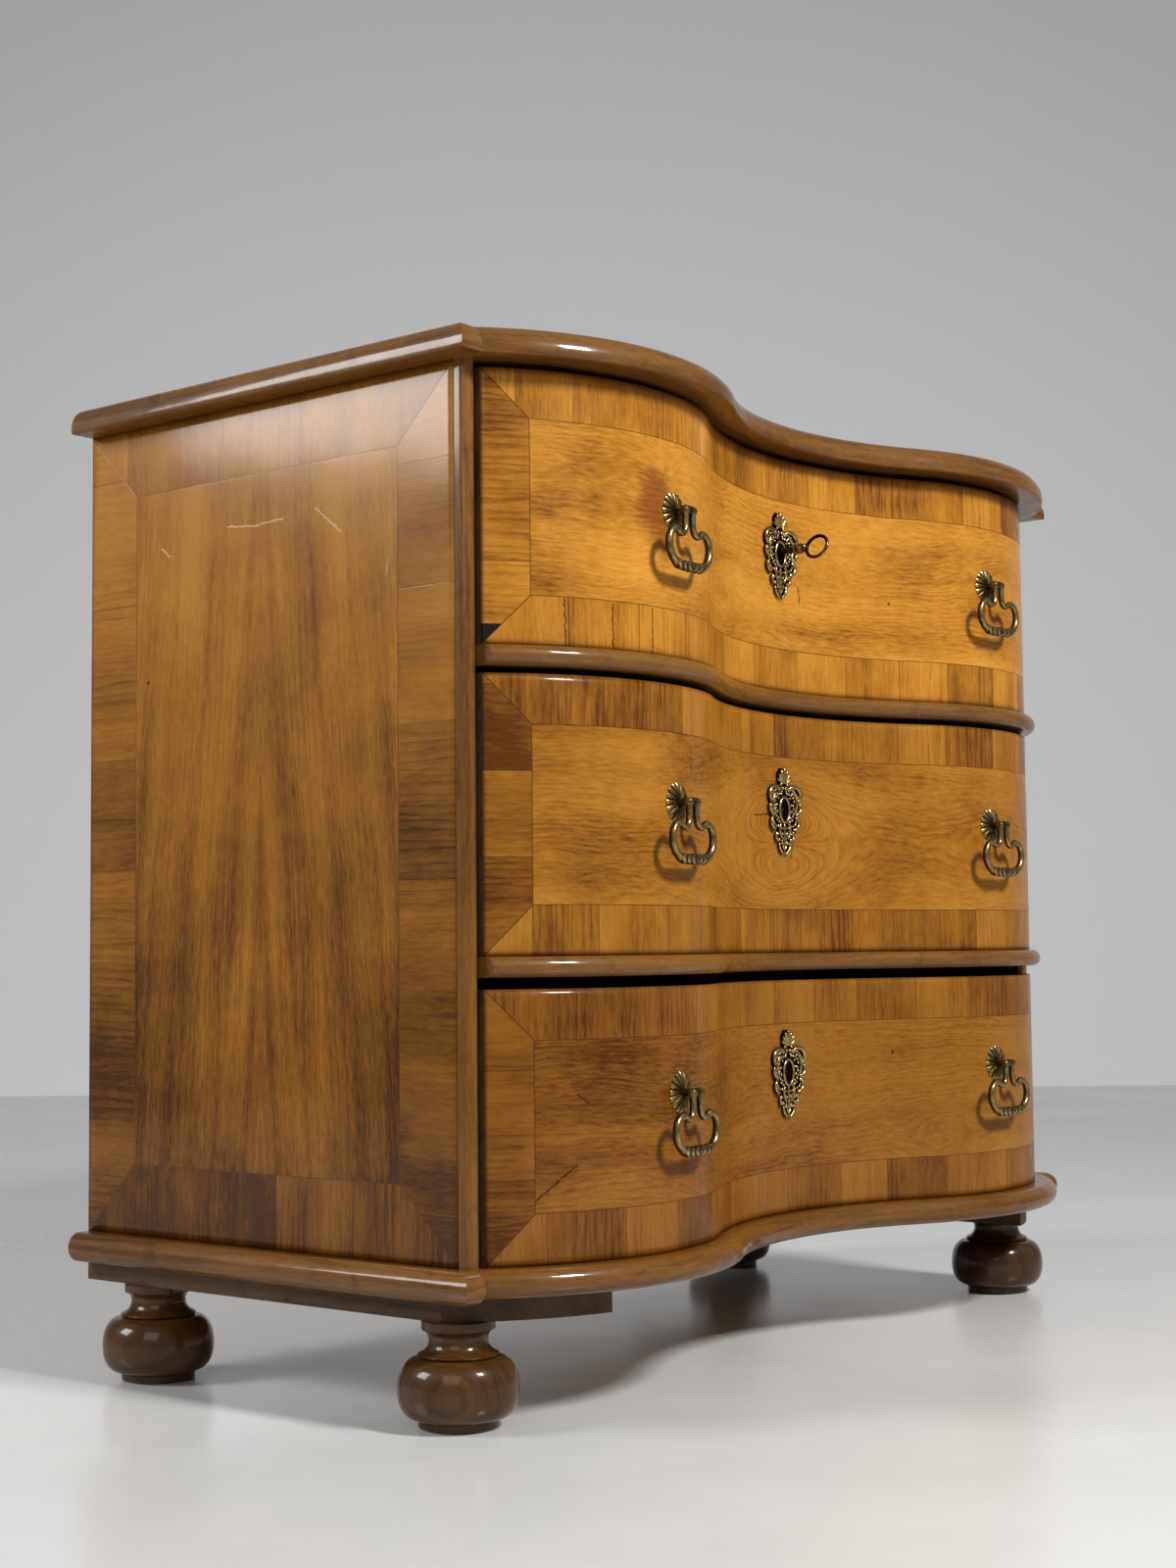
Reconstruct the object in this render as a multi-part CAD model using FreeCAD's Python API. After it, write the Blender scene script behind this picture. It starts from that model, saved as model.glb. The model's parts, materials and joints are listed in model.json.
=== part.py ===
import FreeCAD, Part
import math
import os

from FreeCAD import Vector

# A three-drawer chest with a serpentine front, on four turned bun feet.
# Millimetres, +Z up, front towards -Y, +X to the right.
# The working frame has y = 0 at the front edges of the sides and z = 0 on the floor.
# Every piece is shifted along Y when it is written, so that the origin is
# under the middle of the whole chest.

# Case
CASE_WIDTH = 894.0
CASE_DEPTH = 429.0
TOTAL_HEIGHT = 840.0
SIDE_THICK = 14.0
TOP_THICK = 23.0
BASE_THICK = 25.0
BEARER_THICK = 16.0
BEARER_WIDTH = 115.0
BEARER_SETBACK = 9.0
BACK_THICK = 12.0
BACK_REBATE = 9.0
BACK_BOARD_COUNT = 3
BACK_BOARD_GAP = 0.5

# Serpentine front: two bulges and the hollow between them
BULGE_RADIUS = 224.0
BULGE_END_ANGLE = 42.88
BULGE_TURN_ANGLE = 29.3
FRONT_END_REACH = 11.88

# Mouldings
TOP_OVERHANG = 24.0
TOP_ROUND_WIDTH = 13.0
TOP_NOSE_HEIGHT = 5.0
TOP_NOSE_ROUND = 1.5
BASE_OVERHANG = 22.0
BASE_FRONT_HEIGHT = 21.5
MOULDING_LET_IN = 10.0
CORNER_BEAD_WIDTH = 14.0
CORNER_BEAD_FLAT = 4.5

# Rails, runners and kickers
RAIL_THICK = 16.0
RAIL_BACK_Y = 90.0
RAIL_SETBACK = 5.0
RAIL_BEAD_REACH = 11.0
RUNNER_WIDTH = 40.0
KICKER_CLEARANCE = 2.0

# Turned feet
FOOT_HEIGHT = 81.0
FOOT_PAD_RADIUS = 31.0
FOOT_PAD_HEIGHT = 7.0
FOOT_BUN_RADIUS = 47.0
FOOT_BUN_TOP = 53.0
FOOT_RING_RADIUS = 31.0
FOOT_RING_HEIGHT = 4.0
FOOT_NECK_RADIUS = 22.5
FOOT_COLLAR_RADIUS = 28.5
FOOT_COLLAR_HEIGHT = 7.0
FOOT_INSET = 23.0
FOOT_FRONT_Y = 21.5
FOOT_BACK_INSET = 65.0
SPIGOT_RADIUS = 12.5
SPIGOT_IN_BASE = 14.0
SPIGOT_CLEARANCE = 0.2

# Drawers
MIDDLE_OPENING_MORE = 5.0
TOP_OPENING_MORE = 4.0
BOTTOM_TOP_GAP = 9.0
MIDDLE_TOP_GAP = 5.5
TOP_TOP_GAP = 5.5
RUN_CLEARANCE = 0.3
DRAWER_SIDE_GAP = 2.0
DRAWER_REAR_GAP = 0.5
FRONT_THICK = 24.0
DRAWER_SIDE_THICK = 12.0
DRAWER_SIDE_DROP = 18.0
DRAWER_BACK_THICK = 12.0
DRAWER_BACK_INSET = 10.0
DRAWER_BACK_DROP = 4.0
DRAWER_BOTTOM_THICK = 8.0
GROOVE_DEPTH = 6.0
GROOVE_RISE = 8.0
HOLLOW_END_MARGIN = 8.0
LOCK_MARGIN = 18.0
TAIL_COUNT = 4
TAIL_LENGTH = 16.0
TAIL_ROOT_SHARE = 0.46
TAIL_TIP_SHARE = 0.62

# Locks, keyholes and the key
BOTTOM_KEY_DROP = 80.5
MIDDLE_KEY_DROP = 85.0
TOP_KEY_DROP = 87.0
LOCK_WIDTH = 84.0
LOCK_RISE = 45.0
LOCK_FALL = 30.0
LOCK_DEPTH = 14.0
LOCK_WALL = 2.0
BOLT_WIDTH = 16.0
BOLT_THICK = 6.0
BOLT_INSET = 1.0
BOLT_TAIL_RISE = 17.0
BOLT_TOP_SET = 1.0
BOLT_ENGAGEMENT = 8.0
BOLT_CLEARANCE = 0.3
MORTISE_CLEARANCE = 1.0
STAPLE_WIDTH = 28.0
STAPLE_HEIGHT = 8.0
STAPLE_DROP = 14.0
KEYHOLE_SLOT_WIDTH = 5.0
KEYHOLE_SLOT_DROP = 10.5
KEY_SHAFT_RADIUS = 3.2
KEY_CLEARANCE = 0.3
KEY_BOW_RADIUS = 10.8
KEY_BOW_WIRE_RADIUS = 1.6
KEY_BOW_REACH = 43.0
KEY_COLLAR_REACH = 23.0
KEY_COLLAR_RADIUS = 5.0
KEY_RING_RADIUS = 4.2
KEY_RING_WIDTH = 1.6
KEY_BIT_LENGTH = 12.0
KEY_BIT_WIDTH = 7.0
KEY_BIT_THICK = 2.4
KEY_BIT_INSET = 1.0
KEY_LEAN_ANGLE = 20.0

# Keyhole plates: a shaped cartouche bent to the hollow of the front
PLATE_THICK = 3.0
PLATE_SEAT_GAP = 0.3
PLATE_BODY_HALF_WIDTH = 22.0
PLATE_BODY_HALF_HEIGHT = 24.0
PLATE_CREST_RADIUS = 11.0
PLATE_CREST_RISE = 26.0
PLATE_SCROLL_RADIUS = 9.2
PLATE_SCROLL_X = 17.8
PLATE_SCROLL_RISE = 10.5
PLATE_SCROLL_FALL = 12.5
PLATE_LEAF_HALF_WIDTH = 10.3
PLATE_LEAF_HALF_HEIGHT = 17.5
PLATE_LEAF_FALL = 27.0

# Drawer pulls: fluted rosette, eye post with a nut, hanging bail
PULL_X = 260.0
BOTTOM_PULL_DROP = 84.5
MIDDLE_PULL_DROP = 95.5
TOP_PULL_DROP = 97.0
ROSETTE_RADIUS = 16.5
ROSETTE_RIM = 1.2
ROSETTE_RISE = 3.2
ROSETTE_FLUTES = 16
ROSETTE_FLUTE_RADIUS = 1.3
POST_RADIUS = 3.0
POST_REACH = 15.0
SHANK_RADIUS = 2.2
SHANK_CLEARANCE = 0.15
SHANK_TAIL = 8.0
NUT_WIDTH = 11.0
NUT_THICK = 4.0
NUT_SEAT_GAP = 0.1
EYE_RADIUS = 3.9
EYE_WIDTH = 4.0
PIN_RADIUS = 1.5
PIN_CLEARANCE = 0.05
BAIL_SIDE_CLEARANCE = 0.3
BAIL_WIRE_RADIUS = 2.8
BAIL_BOSS_RADIUS = 3.7
BAIL_BOSS_WIDTH = 6.4
BAIL_HALF_WIDTH = 31.0
BAIL_DROP = 46.0
BAIL_SHOULDER_X = 18.5
BAIL_SHOULDER_DROP = 18.0
BAIL_HUMP_RADIUS = 4.0
BAIL_HUMP_RISE_ANGLE = 30.0
BAIL_HUMP_FALL_ANGLE = 6.0
BAIL_GRIP_RADIUS = 3.9
BAIL_GRIP_HALF_LENGTH = 15.5

OVERRUN = 1.0

# Levels and planes that follow from the sizes above
CASE_HALF = CASE_WIDTH / 2
INNER_HALF = CASE_HALF - SIDE_THICK
BASE_LOW = FOOT_HEIGHT + BEARER_THICK
CASE_LOW = BASE_LOW + BASE_THICK
BASE_FRONT_LOW = CASE_LOW - BASE_FRONT_HEIGHT
CASE_HIGH = TOTAL_HEIGHT - TOP_THICK
BACK_FACE_Y = CASE_DEPTH - BACK_THICK

# The bottom opening is the lowest, and the other two are taller than it
OPENINGS_HEIGHT = CASE_HIGH - CASE_LOW - 2 * RAIL_THICK
BOTTOM_OPENING = (OPENINGS_HEIGHT - MIDDLE_OPENING_MORE - TOP_OPENING_MORE) / 3
MIDDLE_OPENING = BOTTOM_OPENING + MIDDLE_OPENING_MORE
LOWER_RAIL_LOW = CASE_LOW + BOTTOM_OPENING
LOWER_RAIL_HIGH = LOWER_RAIL_LOW + RAIL_THICK
UPPER_RAIL_LOW = LOWER_RAIL_HIGH + MIDDLE_OPENING
UPPER_RAIL_HIGH = UPPER_RAIL_LOW + RAIL_THICK

# The serpentine that all drawer faces follow
FRONT_HALF = INNER_HALF - DRAWER_SIDE_GAP
END_TURN = math.radians(BULGE_END_ANGLE)
MID_TURN = math.radians(BULGE_TURN_ANGLE)
BULGE_X = FRONT_HALF - BULGE_RADIUS * math.sin(END_TURN)
BULGE_Y = BULGE_RADIUS * math.cos(END_TURN) - FRONT_END_REACH
HOLLOW_RADIUS = BULGE_X / math.sin(MID_TURN) - BULGE_RADIUS
HOLLOW_Y = BULGE_Y - (BULGE_RADIUS + HOLLOW_RADIUS) * math.cos(MID_TURN)
TROUGH_Y = HOLLOW_Y + HOLLOW_RADIUS
FRONT_BACK_Y = TROUGH_Y + FRONT_THICK
FOREMOST_Y = BULGE_Y - BULGE_RADIUS - TOP_OVERHANG
ORIGIN_Y = (FOREMOST_Y + CASE_DEPTH) / 2

# Lines inside the drawers
DRAWER_END_Y = BACK_FACE_Y - DRAWER_REAR_GAP
DRAWER_INNER_HALF = FRONT_HALF - DRAWER_SIDE_THICK
BOLT_FRONT_Y = FRONT_BACK_Y + LOCK_WALL + BOLT_INSET
BOLT_BACK_Y = BOLT_FRONT_Y + BOLT_THICK
PULL_TURN_ANGLE = math.degrees(math.asin((BULGE_X - PULL_X) / BULGE_RADIUS))
KEYHOLE_RADIUS = KEY_SHAFT_RADIUS + KEY_CLEARANCE


class Drawer:
    """One drawer's place in the case and the heights that differ between drawers."""

    def __init__(self, name, opening_low, opening_high, top_gap, key_drop, pull_drop):
        self.name = name
        self.low = opening_low + RUN_CLEARANCE
        self.high = opening_high - top_gap
        self.side_high = self.high - DRAWER_SIDE_DROP
        self.key_z = self.high - key_drop
        self.pull_z = self.high - pull_drop
        self.mortise_low = opening_high


DRAWERS = (
    Drawer("drawer_top", UPPER_RAIL_HIGH, CASE_HIGH, TOP_TOP_GAP, TOP_KEY_DROP, TOP_PULL_DROP),
    Drawer("drawer_middle", LOWER_RAIL_HIGH, UPPER_RAIL_LOW, MIDDLE_TOP_GAP,
           MIDDLE_KEY_DROP, MIDDLE_PULL_DROP),
    Drawer("drawer_bottom", CASE_LOW, LOWER_RAIL_LOW, BOTTOM_TOP_GAP,
           BOTTOM_KEY_DROP, BOTTOM_PULL_DROP),
)
TOP_DRAWER, MIDDLE_DRAWER, BOTTOM_DRAWER = DRAWERS
KICKER_LOW = TOP_DRAWER.side_high + KICKER_CLEARANCE


def export(node, shapes):
    """Write one node's solids in the finished frame."""
    placed = []
    for shape in shapes:
        for solid in shape.Solids:
            copy = solid.copy()
            copy.translate(Vector(0, -ORIGIN_Y, 0))
            placed.append(copy)
    whole = placed[0] if len(placed) == 1 else Part.makeCompound(placed)
    whole.exportStep("parts/" + node + ".step")


def box(x0, x1, y0, y1, z0, z1):
    """A block between two opposite corners."""
    return Part.makeBox(x1 - x0, y1 - y0, z1 - z0, Vector(x0, y0, z0))


def mirrored(shape):
    """The same piece for the other side of the chest."""
    return shape.mirror(Vector(0, 0, 0), Vector(1, 0, 0))


def line(start, stop):
    """A straight edge."""
    return Part.LineSegment(start, stop).toShape()


def arc(start, through, stop):
    """A round edge through three points."""
    return Part.Arc(start, through, stop).toShape()


def rod_along_y(radius, y0, y1, x, z):
    """A round bar that runs from front to back."""
    return Part.makeCylinder(radius, y1 - y0, Vector(x, y0, z), Vector(0, 1, 0))


def rod_along_x(radius, x0, x1):
    """A round bar along the X axis."""
    return Part.makeCylinder(radius, x1 - x0, Vector(x0, 0, 0), Vector(1, 0, 0))


# The serpentine line and what is carried along it

def turn_x(offset):
    """X where the bulge passes into the hollow, on a line set out by offset."""
    return BULGE_X - (BULGE_RADIUS + offset) * math.sin(MID_TURN)


def front_y(x, offset):
    """Y of the serpentine at x, on a line set out from the drawer faces by offset."""
    if abs(x) >= turn_x(offset):
        return BULGE_Y - math.sqrt((BULGE_RADIUS + offset) ** 2 - (abs(x) - BULGE_X) ** 2)
    return HOLLOW_Y + math.sqrt((HOLLOW_RADIUS - offset) ** 2 - x ** 2)


def front_block(offset, back_y, reach, z0, z1):
    """A board with a serpentine front edge, square ends and a straight back edge."""
    stops = (-reach, -turn_x(offset), turn_x(offset), reach)
    edges = []
    for start, stop in zip(stops, stops[1:]):
        points = [Vector(x, front_y(x, offset), z0) for x in (start, (start + stop) / 2, stop)]
        edges.append(arc(*points))
    end_y = front_y(reach, offset)
    corners = (Vector(reach, end_y, z0), Vector(reach, back_y, z0),
               Vector(-reach, back_y, z0), Vector(-reach, end_y, z0))
    edges += [line(start, stop) for start, stop in zip(corners, corners[1:])]
    return Part.Face(Part.Wire(edges)).extrude(Vector(0, 0, z1 - z0))


def half_round(place, root, nose, low, high):
    """Outline of a bead: square at the root, a half circle at the nose."""
    radius = (high - low) / 2
    flat = nose - radius
    tip = place(nose, low + radius)
    return Part.Wire([
        line(place(root, low), place(flat, low)),
        arc(place(flat, low), tip, place(flat, high)),
        line(place(flat, high), place(root, high)),
        line(place(root, high), place(root, low)),
    ])


def thumbnail(place, root, nose, low, high):
    """Outline of the top's edge: flat below, a blunt nose, a long round to the top."""
    round_low = low + TOP_NOSE_HEIGHT
    round_height = high - round_low
    radius = (TOP_ROUND_WIDTH ** 2 + round_height ** 2) / (2 * TOP_ROUND_WIDTH)
    half_turn = math.atan2(round_height, radius - TOP_ROUND_WIDTH) / 2
    through = place(nose - radius + radius * math.cos(half_turn), round_low + radius * math.sin(half_turn))
    return Part.Wire([
        line(place(root, low), place(nose - TOP_NOSE_ROUND, low)),
        line(place(nose - TOP_NOSE_ROUND, low), place(nose, low + TOP_NOSE_ROUND)),
        line(place(nose, low + TOP_NOSE_ROUND), place(nose, round_low)),
        arc(place(nose, round_low), through, place(nose - TOP_ROUND_WIDTH, high)),
        line(place(nose - TOP_ROUND_WIDTH, high), place(root, high)),
        line(place(root, high), place(root, low)),
    ])


def swung(outline, radius_of, centre, start_angle, sweep, levels):
    """Turn a moulding outline about a vertical axis, for one arc of the front."""
    face = Part.Face(outline(lambda offset, z: Vector(radius_of(offset), 0, z), *levels))
    face.rotate(Vector(0, 0, 0), Vector(0, 0, 1), start_angle)
    face.translate(centre)
    return face.revolve(centre, Vector(0, 0, 1), sweep)


def front_moulding(outline, root, nose, low, high, reach):
    """A moulding along the serpentine, with square ends at x = +reach and -reach."""
    levels = (root, nose, low, high)
    end_angle = math.degrees(math.asin((reach + OVERRUN - BULGE_X) / (BULGE_RADIUS + root)))
    left = swung(outline, lambda offset: BULGE_RADIUS + offset, Vector(-BULGE_X, BULGE_Y, 0),
                 -90 - end_angle, end_angle + BULGE_TURN_ANGLE, levels)
    middle = swung(outline, lambda offset: HOLLOW_RADIUS - offset, Vector(0, HOLLOW_Y, 0),
                   90 - BULGE_TURN_ANGLE, 2 * BULGE_TURN_ANGLE, levels)
    whole = left.fuse([middle, mirrored(left)]).removeSplitter()
    return whole.common(box(-reach, reach, -CASE_DEPTH, CASE_DEPTH, low - OVERRUN, high + OVERRUN))


def corner_y(overhang):
    """Y of the straight corner's front line, flush with the end of the serpentine."""
    return front_y(CASE_HALF, overhang)


def mitre_wedge(overhang, low, high):
    """The triangle in plan that the left corner moulding fills."""
    front = corner_y(overhang)
    points = (Vector(-CASE_HALF - overhang, front, low), Vector(-CASE_HALF, front, low),
              Vector(-CASE_HALF, front + overhang, low))
    return Part.Face(Part.makePolygon(points + points[:1])).extrude(Vector(0, 0, high - low))


def side_moulding(outline, overhang, low, high):
    """The moulding along the left side, mitred at its front end."""
    front = corner_y(overhang)
    face = Part.Face(outline(lambda offset, z: Vector(-CASE_HALF - offset, front, z),
                             0, overhang, low, high))
    return face.extrude(Vector(0, CASE_DEPTH - front, 0)).cut(mitre_wedge(overhang, low, high))


def corner_moulding(outline, overhang, low, high):
    """The short return that joins the left side moulding to the serpentine."""
    root_y = corner_y(overhang) + overhang
    face = Part.Face(outline(lambda offset, z: Vector(-CASE_HALF - overhang, root_y - offset, z),
                             0, overhang, low, high))
    return face.extrude(Vector(overhang, 0, 0)).common(mitre_wedge(overhang, low, high))


# Case pieces

def mortise(drawer):
    """The pocket above a drawer that its lock bolt rises into."""
    half = BOLT_WIDTH / 2 + MORTISE_CLEARANCE
    depth = BOLT_ENGAGEMENT + MORTISE_CLEARANCE
    return box(-half, half, BOLT_FRONT_Y - MORTISE_CLEARANCE, BOLT_BACK_Y + MORTISE_CLEARANCE,
               drawer.mortise_low, drawer.mortise_low + depth)


def side_panel():
    """Left side, rebated at the back for the back boards."""
    panel = box(-CASE_HALF, -INNER_HALF, 0, CASE_DEPTH, CASE_LOW, CASE_HIGH)
    rebate_x = -INNER_HALF - BACK_REBATE
    return panel.cut(box(rebate_x, -INNER_HALF, BACK_FACE_Y, CASE_DEPTH, CASE_LOW, CASE_HIGH))


def back_boards():
    """Level boards in the rebates of the sides, with a joint between each pair."""
    half = INNER_HALF + BACK_REBATE
    pitch = (CASE_HIGH - CASE_LOW + BACK_BOARD_GAP) / BACK_BOARD_COUNT
    boards = []
    for index in range(BACK_BOARD_COUNT):
        low = CASE_LOW + index * pitch
        boards.append(box(-half, half, BACK_FACE_Y, CASE_DEPTH, low, low + pitch - BACK_BOARD_GAP))
    return boards


def corner_bead():
    """Bead on the front edge of the left side: a short flat root and a half-round nose."""
    radius = CORNER_BEAD_WIDTH / 2
    inner = -CASE_HALF + CORNER_BEAD_WIDTH
    start = Vector(-CASE_HALF, 0, CASE_LOW)
    outer_turn = Vector(-CASE_HALF, -CORNER_BEAD_FLAT, CASE_LOW)
    tip = Vector(-CASE_HALF + radius, -CORNER_BEAD_FLAT - radius, CASE_LOW)
    inner_turn = Vector(inner, -CORNER_BEAD_FLAT, CASE_LOW)
    stop = Vector(inner, 0, CASE_LOW)
    outline = Part.Wire([line(start, outer_turn), arc(outer_turn, tip, inner_turn),
                         line(inner_turn, stop), line(stop, start)])
    return Part.Face(outline).extrude(Vector(0, 0, CASE_HIGH - CASE_LOW))


def rail(low, drawer_below):
    """Board between two drawers, with the mortise for the lock of the drawer below."""
    board = front_block(-RAIL_SETBACK, RAIL_BACK_Y, INNER_HALF, low, low + RAIL_THICK)
    return board.cut(mortise(drawer_below))


def rail_bead(low):
    """Half-round bead on the front edge of a rail."""
    high = low + RAIL_THICK
    return front_moulding(half_round, -RAIL_SETBACK, RAIL_BEAD_REACH, low, high, INNER_HALF)


def side_strips(low, high):
    """A pair of strips along the inner faces of the sides, behind the rails."""
    strip = box(-INNER_HALF, RUNNER_WIDTH - INNER_HALF, RAIL_BACK_Y, BACK_FACE_Y, low, high)
    return [strip, mirrored(strip)]


def foot_places():
    """Where the four feet stand, by name."""
    foot_x = CASE_HALF - FOOT_INSET
    back_y = CASE_DEPTH - FOOT_BACK_INSET
    return {
        "foot_front_left": Vector(-foot_x, FOOT_FRONT_Y, 0),
        "foot_front_right": Vector(foot_x, FOOT_FRONT_Y, 0),
        "foot_back_left": Vector(-foot_x, back_y, 0),
        "foot_back_right": Vector(foot_x, back_y, 0),
    }


def foot():
    """Turned bun foot with a pad, ring, waisted neck and collar, and a spigot on top."""
    bun_middle = (FOOT_PAD_HEIGHT + FOOT_BUN_TOP) / 2
    ring_high = FOOT_BUN_TOP + FOOT_RING_HEIGHT
    collar_low = FOOT_HEIGHT - FOOT_COLLAR_HEIGHT
    spigot_high = FOOT_HEIGHT + BEARER_THICK + SPIGOT_IN_BASE - SPIGOT_CLEARANCE

    def at(radius, z):
        return Vector(radius, 0, z)

    edges = [
        line(at(0, 0), at(FOOT_PAD_RADIUS, 0)),
        line(at(FOOT_PAD_RADIUS, 0), at(FOOT_PAD_RADIUS, FOOT_PAD_HEIGHT)),
        arc(at(FOOT_PAD_RADIUS, FOOT_PAD_HEIGHT), at(FOOT_BUN_RADIUS, bun_middle),
            at(FOOT_RING_RADIUS, FOOT_BUN_TOP)),
        arc(at(FOOT_RING_RADIUS, FOOT_BUN_TOP),
            at(FOOT_RING_RADIUS + FOOT_RING_HEIGHT / 4, (FOOT_BUN_TOP + ring_high) / 2),
            at(FOOT_RING_RADIUS - FOOT_RING_HEIGHT / 2, ring_high)),
        arc(at(FOOT_RING_RADIUS - FOOT_RING_HEIGHT / 2, ring_high),
            at(FOOT_NECK_RADIUS, (ring_high + collar_low) / 2), at(FOOT_COLLAR_RADIUS, collar_low)),
        line(at(FOOT_COLLAR_RADIUS, collar_low), at(FOOT_COLLAR_RADIUS, FOOT_HEIGHT)),
        line(at(FOOT_COLLAR_RADIUS, FOOT_HEIGHT), at(SPIGOT_RADIUS, FOOT_HEIGHT)),
        line(at(SPIGOT_RADIUS, FOOT_HEIGHT), at(SPIGOT_RADIUS, spigot_high)),
        line(at(SPIGOT_RADIUS, spigot_high), at(0, spigot_high)),
        line(at(0, spigot_high), at(0, 0)),
    ]
    return Part.Face(Part.Wire(edges)).revolve(Vector(0, 0, 0), Vector(0, 0, 1), 360)


def spigot_holes():
    """Holes in the bearers and the base for the spigots of the feet."""
    height = BEARER_THICK + SPIGOT_IN_BASE
    holes = []
    for place in foot_places().values():
        start = place + Vector(0, 0, FOOT_HEIGHT)
        holes.append(Part.makeCylinder(SPIGOT_RADIUS + SPIGOT_CLEARANCE, height, start))
    return Part.makeCompound(holes)


def foot_bearer():
    """Board under the left side of the base, cut along the serpentine at its front end."""
    board = front_block(-BEARER_SETBACK, CASE_DEPTH, CASE_HALF, FOOT_HEIGHT, BASE_LOW)
    strip = box(-CASE_HALF, BEARER_WIDTH - CASE_HALF, FOREMOST_Y, CASE_DEPTH, FOOT_HEIGHT, BASE_LOW)
    return board.common(strip).cut(spigot_holes())


# Drawer pieces

def keyhole(y0, y1, z):
    """A keyhole cutter: a round hole with a slot below it."""
    slot_half = KEYHOLE_SLOT_WIDTH / 2
    slot = box(-slot_half, slot_half, y0, y1, z - KEYHOLE_SLOT_DROP, z)
    return rod_along_y(KEYHOLE_RADIUS, y0, y1, 0, z).fuse(slot)


def pull_placed(shape, side, z):
    """Move a pull's piece from its own frame to the drawer face; side is -1 left, +1 right."""
    shape.rotate(Vector(0, 0, 0), Vector(0, 0, 1), -side * PULL_TURN_ANGLE)
    shape.translate(Vector(side * PULL_X, front_y(PULL_X, 0), z))
    return shape


def dovetails(drawer):
    """The tails on the front end of the left drawer side."""
    pitch = (drawer.side_high - drawer.low) / TAIL_COUNT
    tails = []
    for index in range(TAIL_COUNT):
        middle = drawer.low + (index + 0.5) * pitch
        root = pitch * TAIL_ROOT_SHARE / 2
        tip = pitch * TAIL_TIP_SHARE / 2
        points = [Vector(-FRONT_HALF, FRONT_BACK_Y, middle - root),
                  Vector(-FRONT_HALF, FRONT_BACK_Y - TAIL_LENGTH, middle - tip),
                  Vector(-FRONT_HALF, FRONT_BACK_Y - TAIL_LENGTH, middle + tip),
                  Vector(-FRONT_HALF, FRONT_BACK_Y, middle + root)]
        outline = Part.Face(Part.makePolygon(points + points[:1]))
        tails.append(outline.extrude(Vector(DRAWER_SIDE_THICK, 0, 0)))
    return tails


def drawer_bottom(drawer):
    """Bottom panel, let into grooves in the front and the sides."""
    low = drawer.low + GROOVE_RISE
    return front_block(GROOVE_DEPTH - FRONT_THICK, DRAWER_END_Y, DRAWER_INNER_HALF + GROOVE_DEPTH,
                       low, low + DRAWER_BOTTOM_THICK)


def drawer_side(drawer):
    """Left side of a drawer, with its dovetails and the groove for the bottom."""
    board = box(-FRONT_HALF, -DRAWER_INNER_HALF, FRONT_BACK_Y, DRAWER_END_Y,
                drawer.low, drawer.side_high)
    return board.fuse(dovetails(drawer)).removeSplitter().cut(drawer_bottom(drawer))


def drawer_back(drawer):
    """Back of a drawer, standing on the bottom panel between the sides."""
    end = DRAWER_END_Y - DRAWER_BACK_INSET
    low = drawer.low + GROOVE_RISE + DRAWER_BOTTOM_THICK
    return box(-DRAWER_INNER_HALF, DRAWER_INNER_HALF, end - DRAWER_BACK_THICK, end,
               low, drawer.side_high - DRAWER_BACK_DROP)


def drawer_front(drawer):
    """Serpentine front: hollowed behind the bulges, flat behind the lock and at the ends."""
    board = front_block(0, FRONT_BACK_Y, FRONT_HALF, drawer.low, drawer.high)
    below = drawer.low - OVERRUN
    above = drawer.high + OVERRUN
    inside = front_block(-FRONT_THICK, FRONT_BACK_Y + OVERRUN, FRONT_HALF, below, above)
    hollow = inside.common(box(LOCK_WIDTH / 2 + LOCK_MARGIN, DRAWER_INNER_HALF - HOLLOW_END_MARGIN,
                               FOREMOST_Y, CASE_DEPTH, below, above))
    cutters = [hollow, mirrored(hollow), drawer_bottom(drawer)]
    for tail in dovetails(drawer):
        cutters += [tail, mirrored(tail)]
    cutters.append(keyhole(FOREMOST_Y, FRONT_BACK_Y + OVERRUN, drawer.key_z))
    for side in (-1, 1):
        hole = rod_along_y(SHANK_RADIUS + SHANK_CLEARANCE, -FRONT_THICK, 2 * FRONT_THICK, 0, 0)
        cutters.append(pull_placed(hole, side, drawer.pull_z))
    return board.cut(cutters)


def bolt(drawer):
    """Flat lock bolt that rises out of the lock case."""
    half = BOLT_WIDTH / 2
    low = drawer.key_z + BOLT_TAIL_RISE
    return box(-half, half, BOLT_FRONT_Y, BOLT_BACK_Y, low, drawer.high - BOLT_TOP_SET)


def bolt_way(z0, z1):
    """The clear way for a bolt through a plate."""
    half = BOLT_WIDTH / 2 + BOLT_CLEARANCE
    return box(-half, half, BOLT_FRONT_Y - BOLT_CLEARANCE, BOLT_BACK_Y + BOLT_CLEARANCE, z0, z1)


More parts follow.
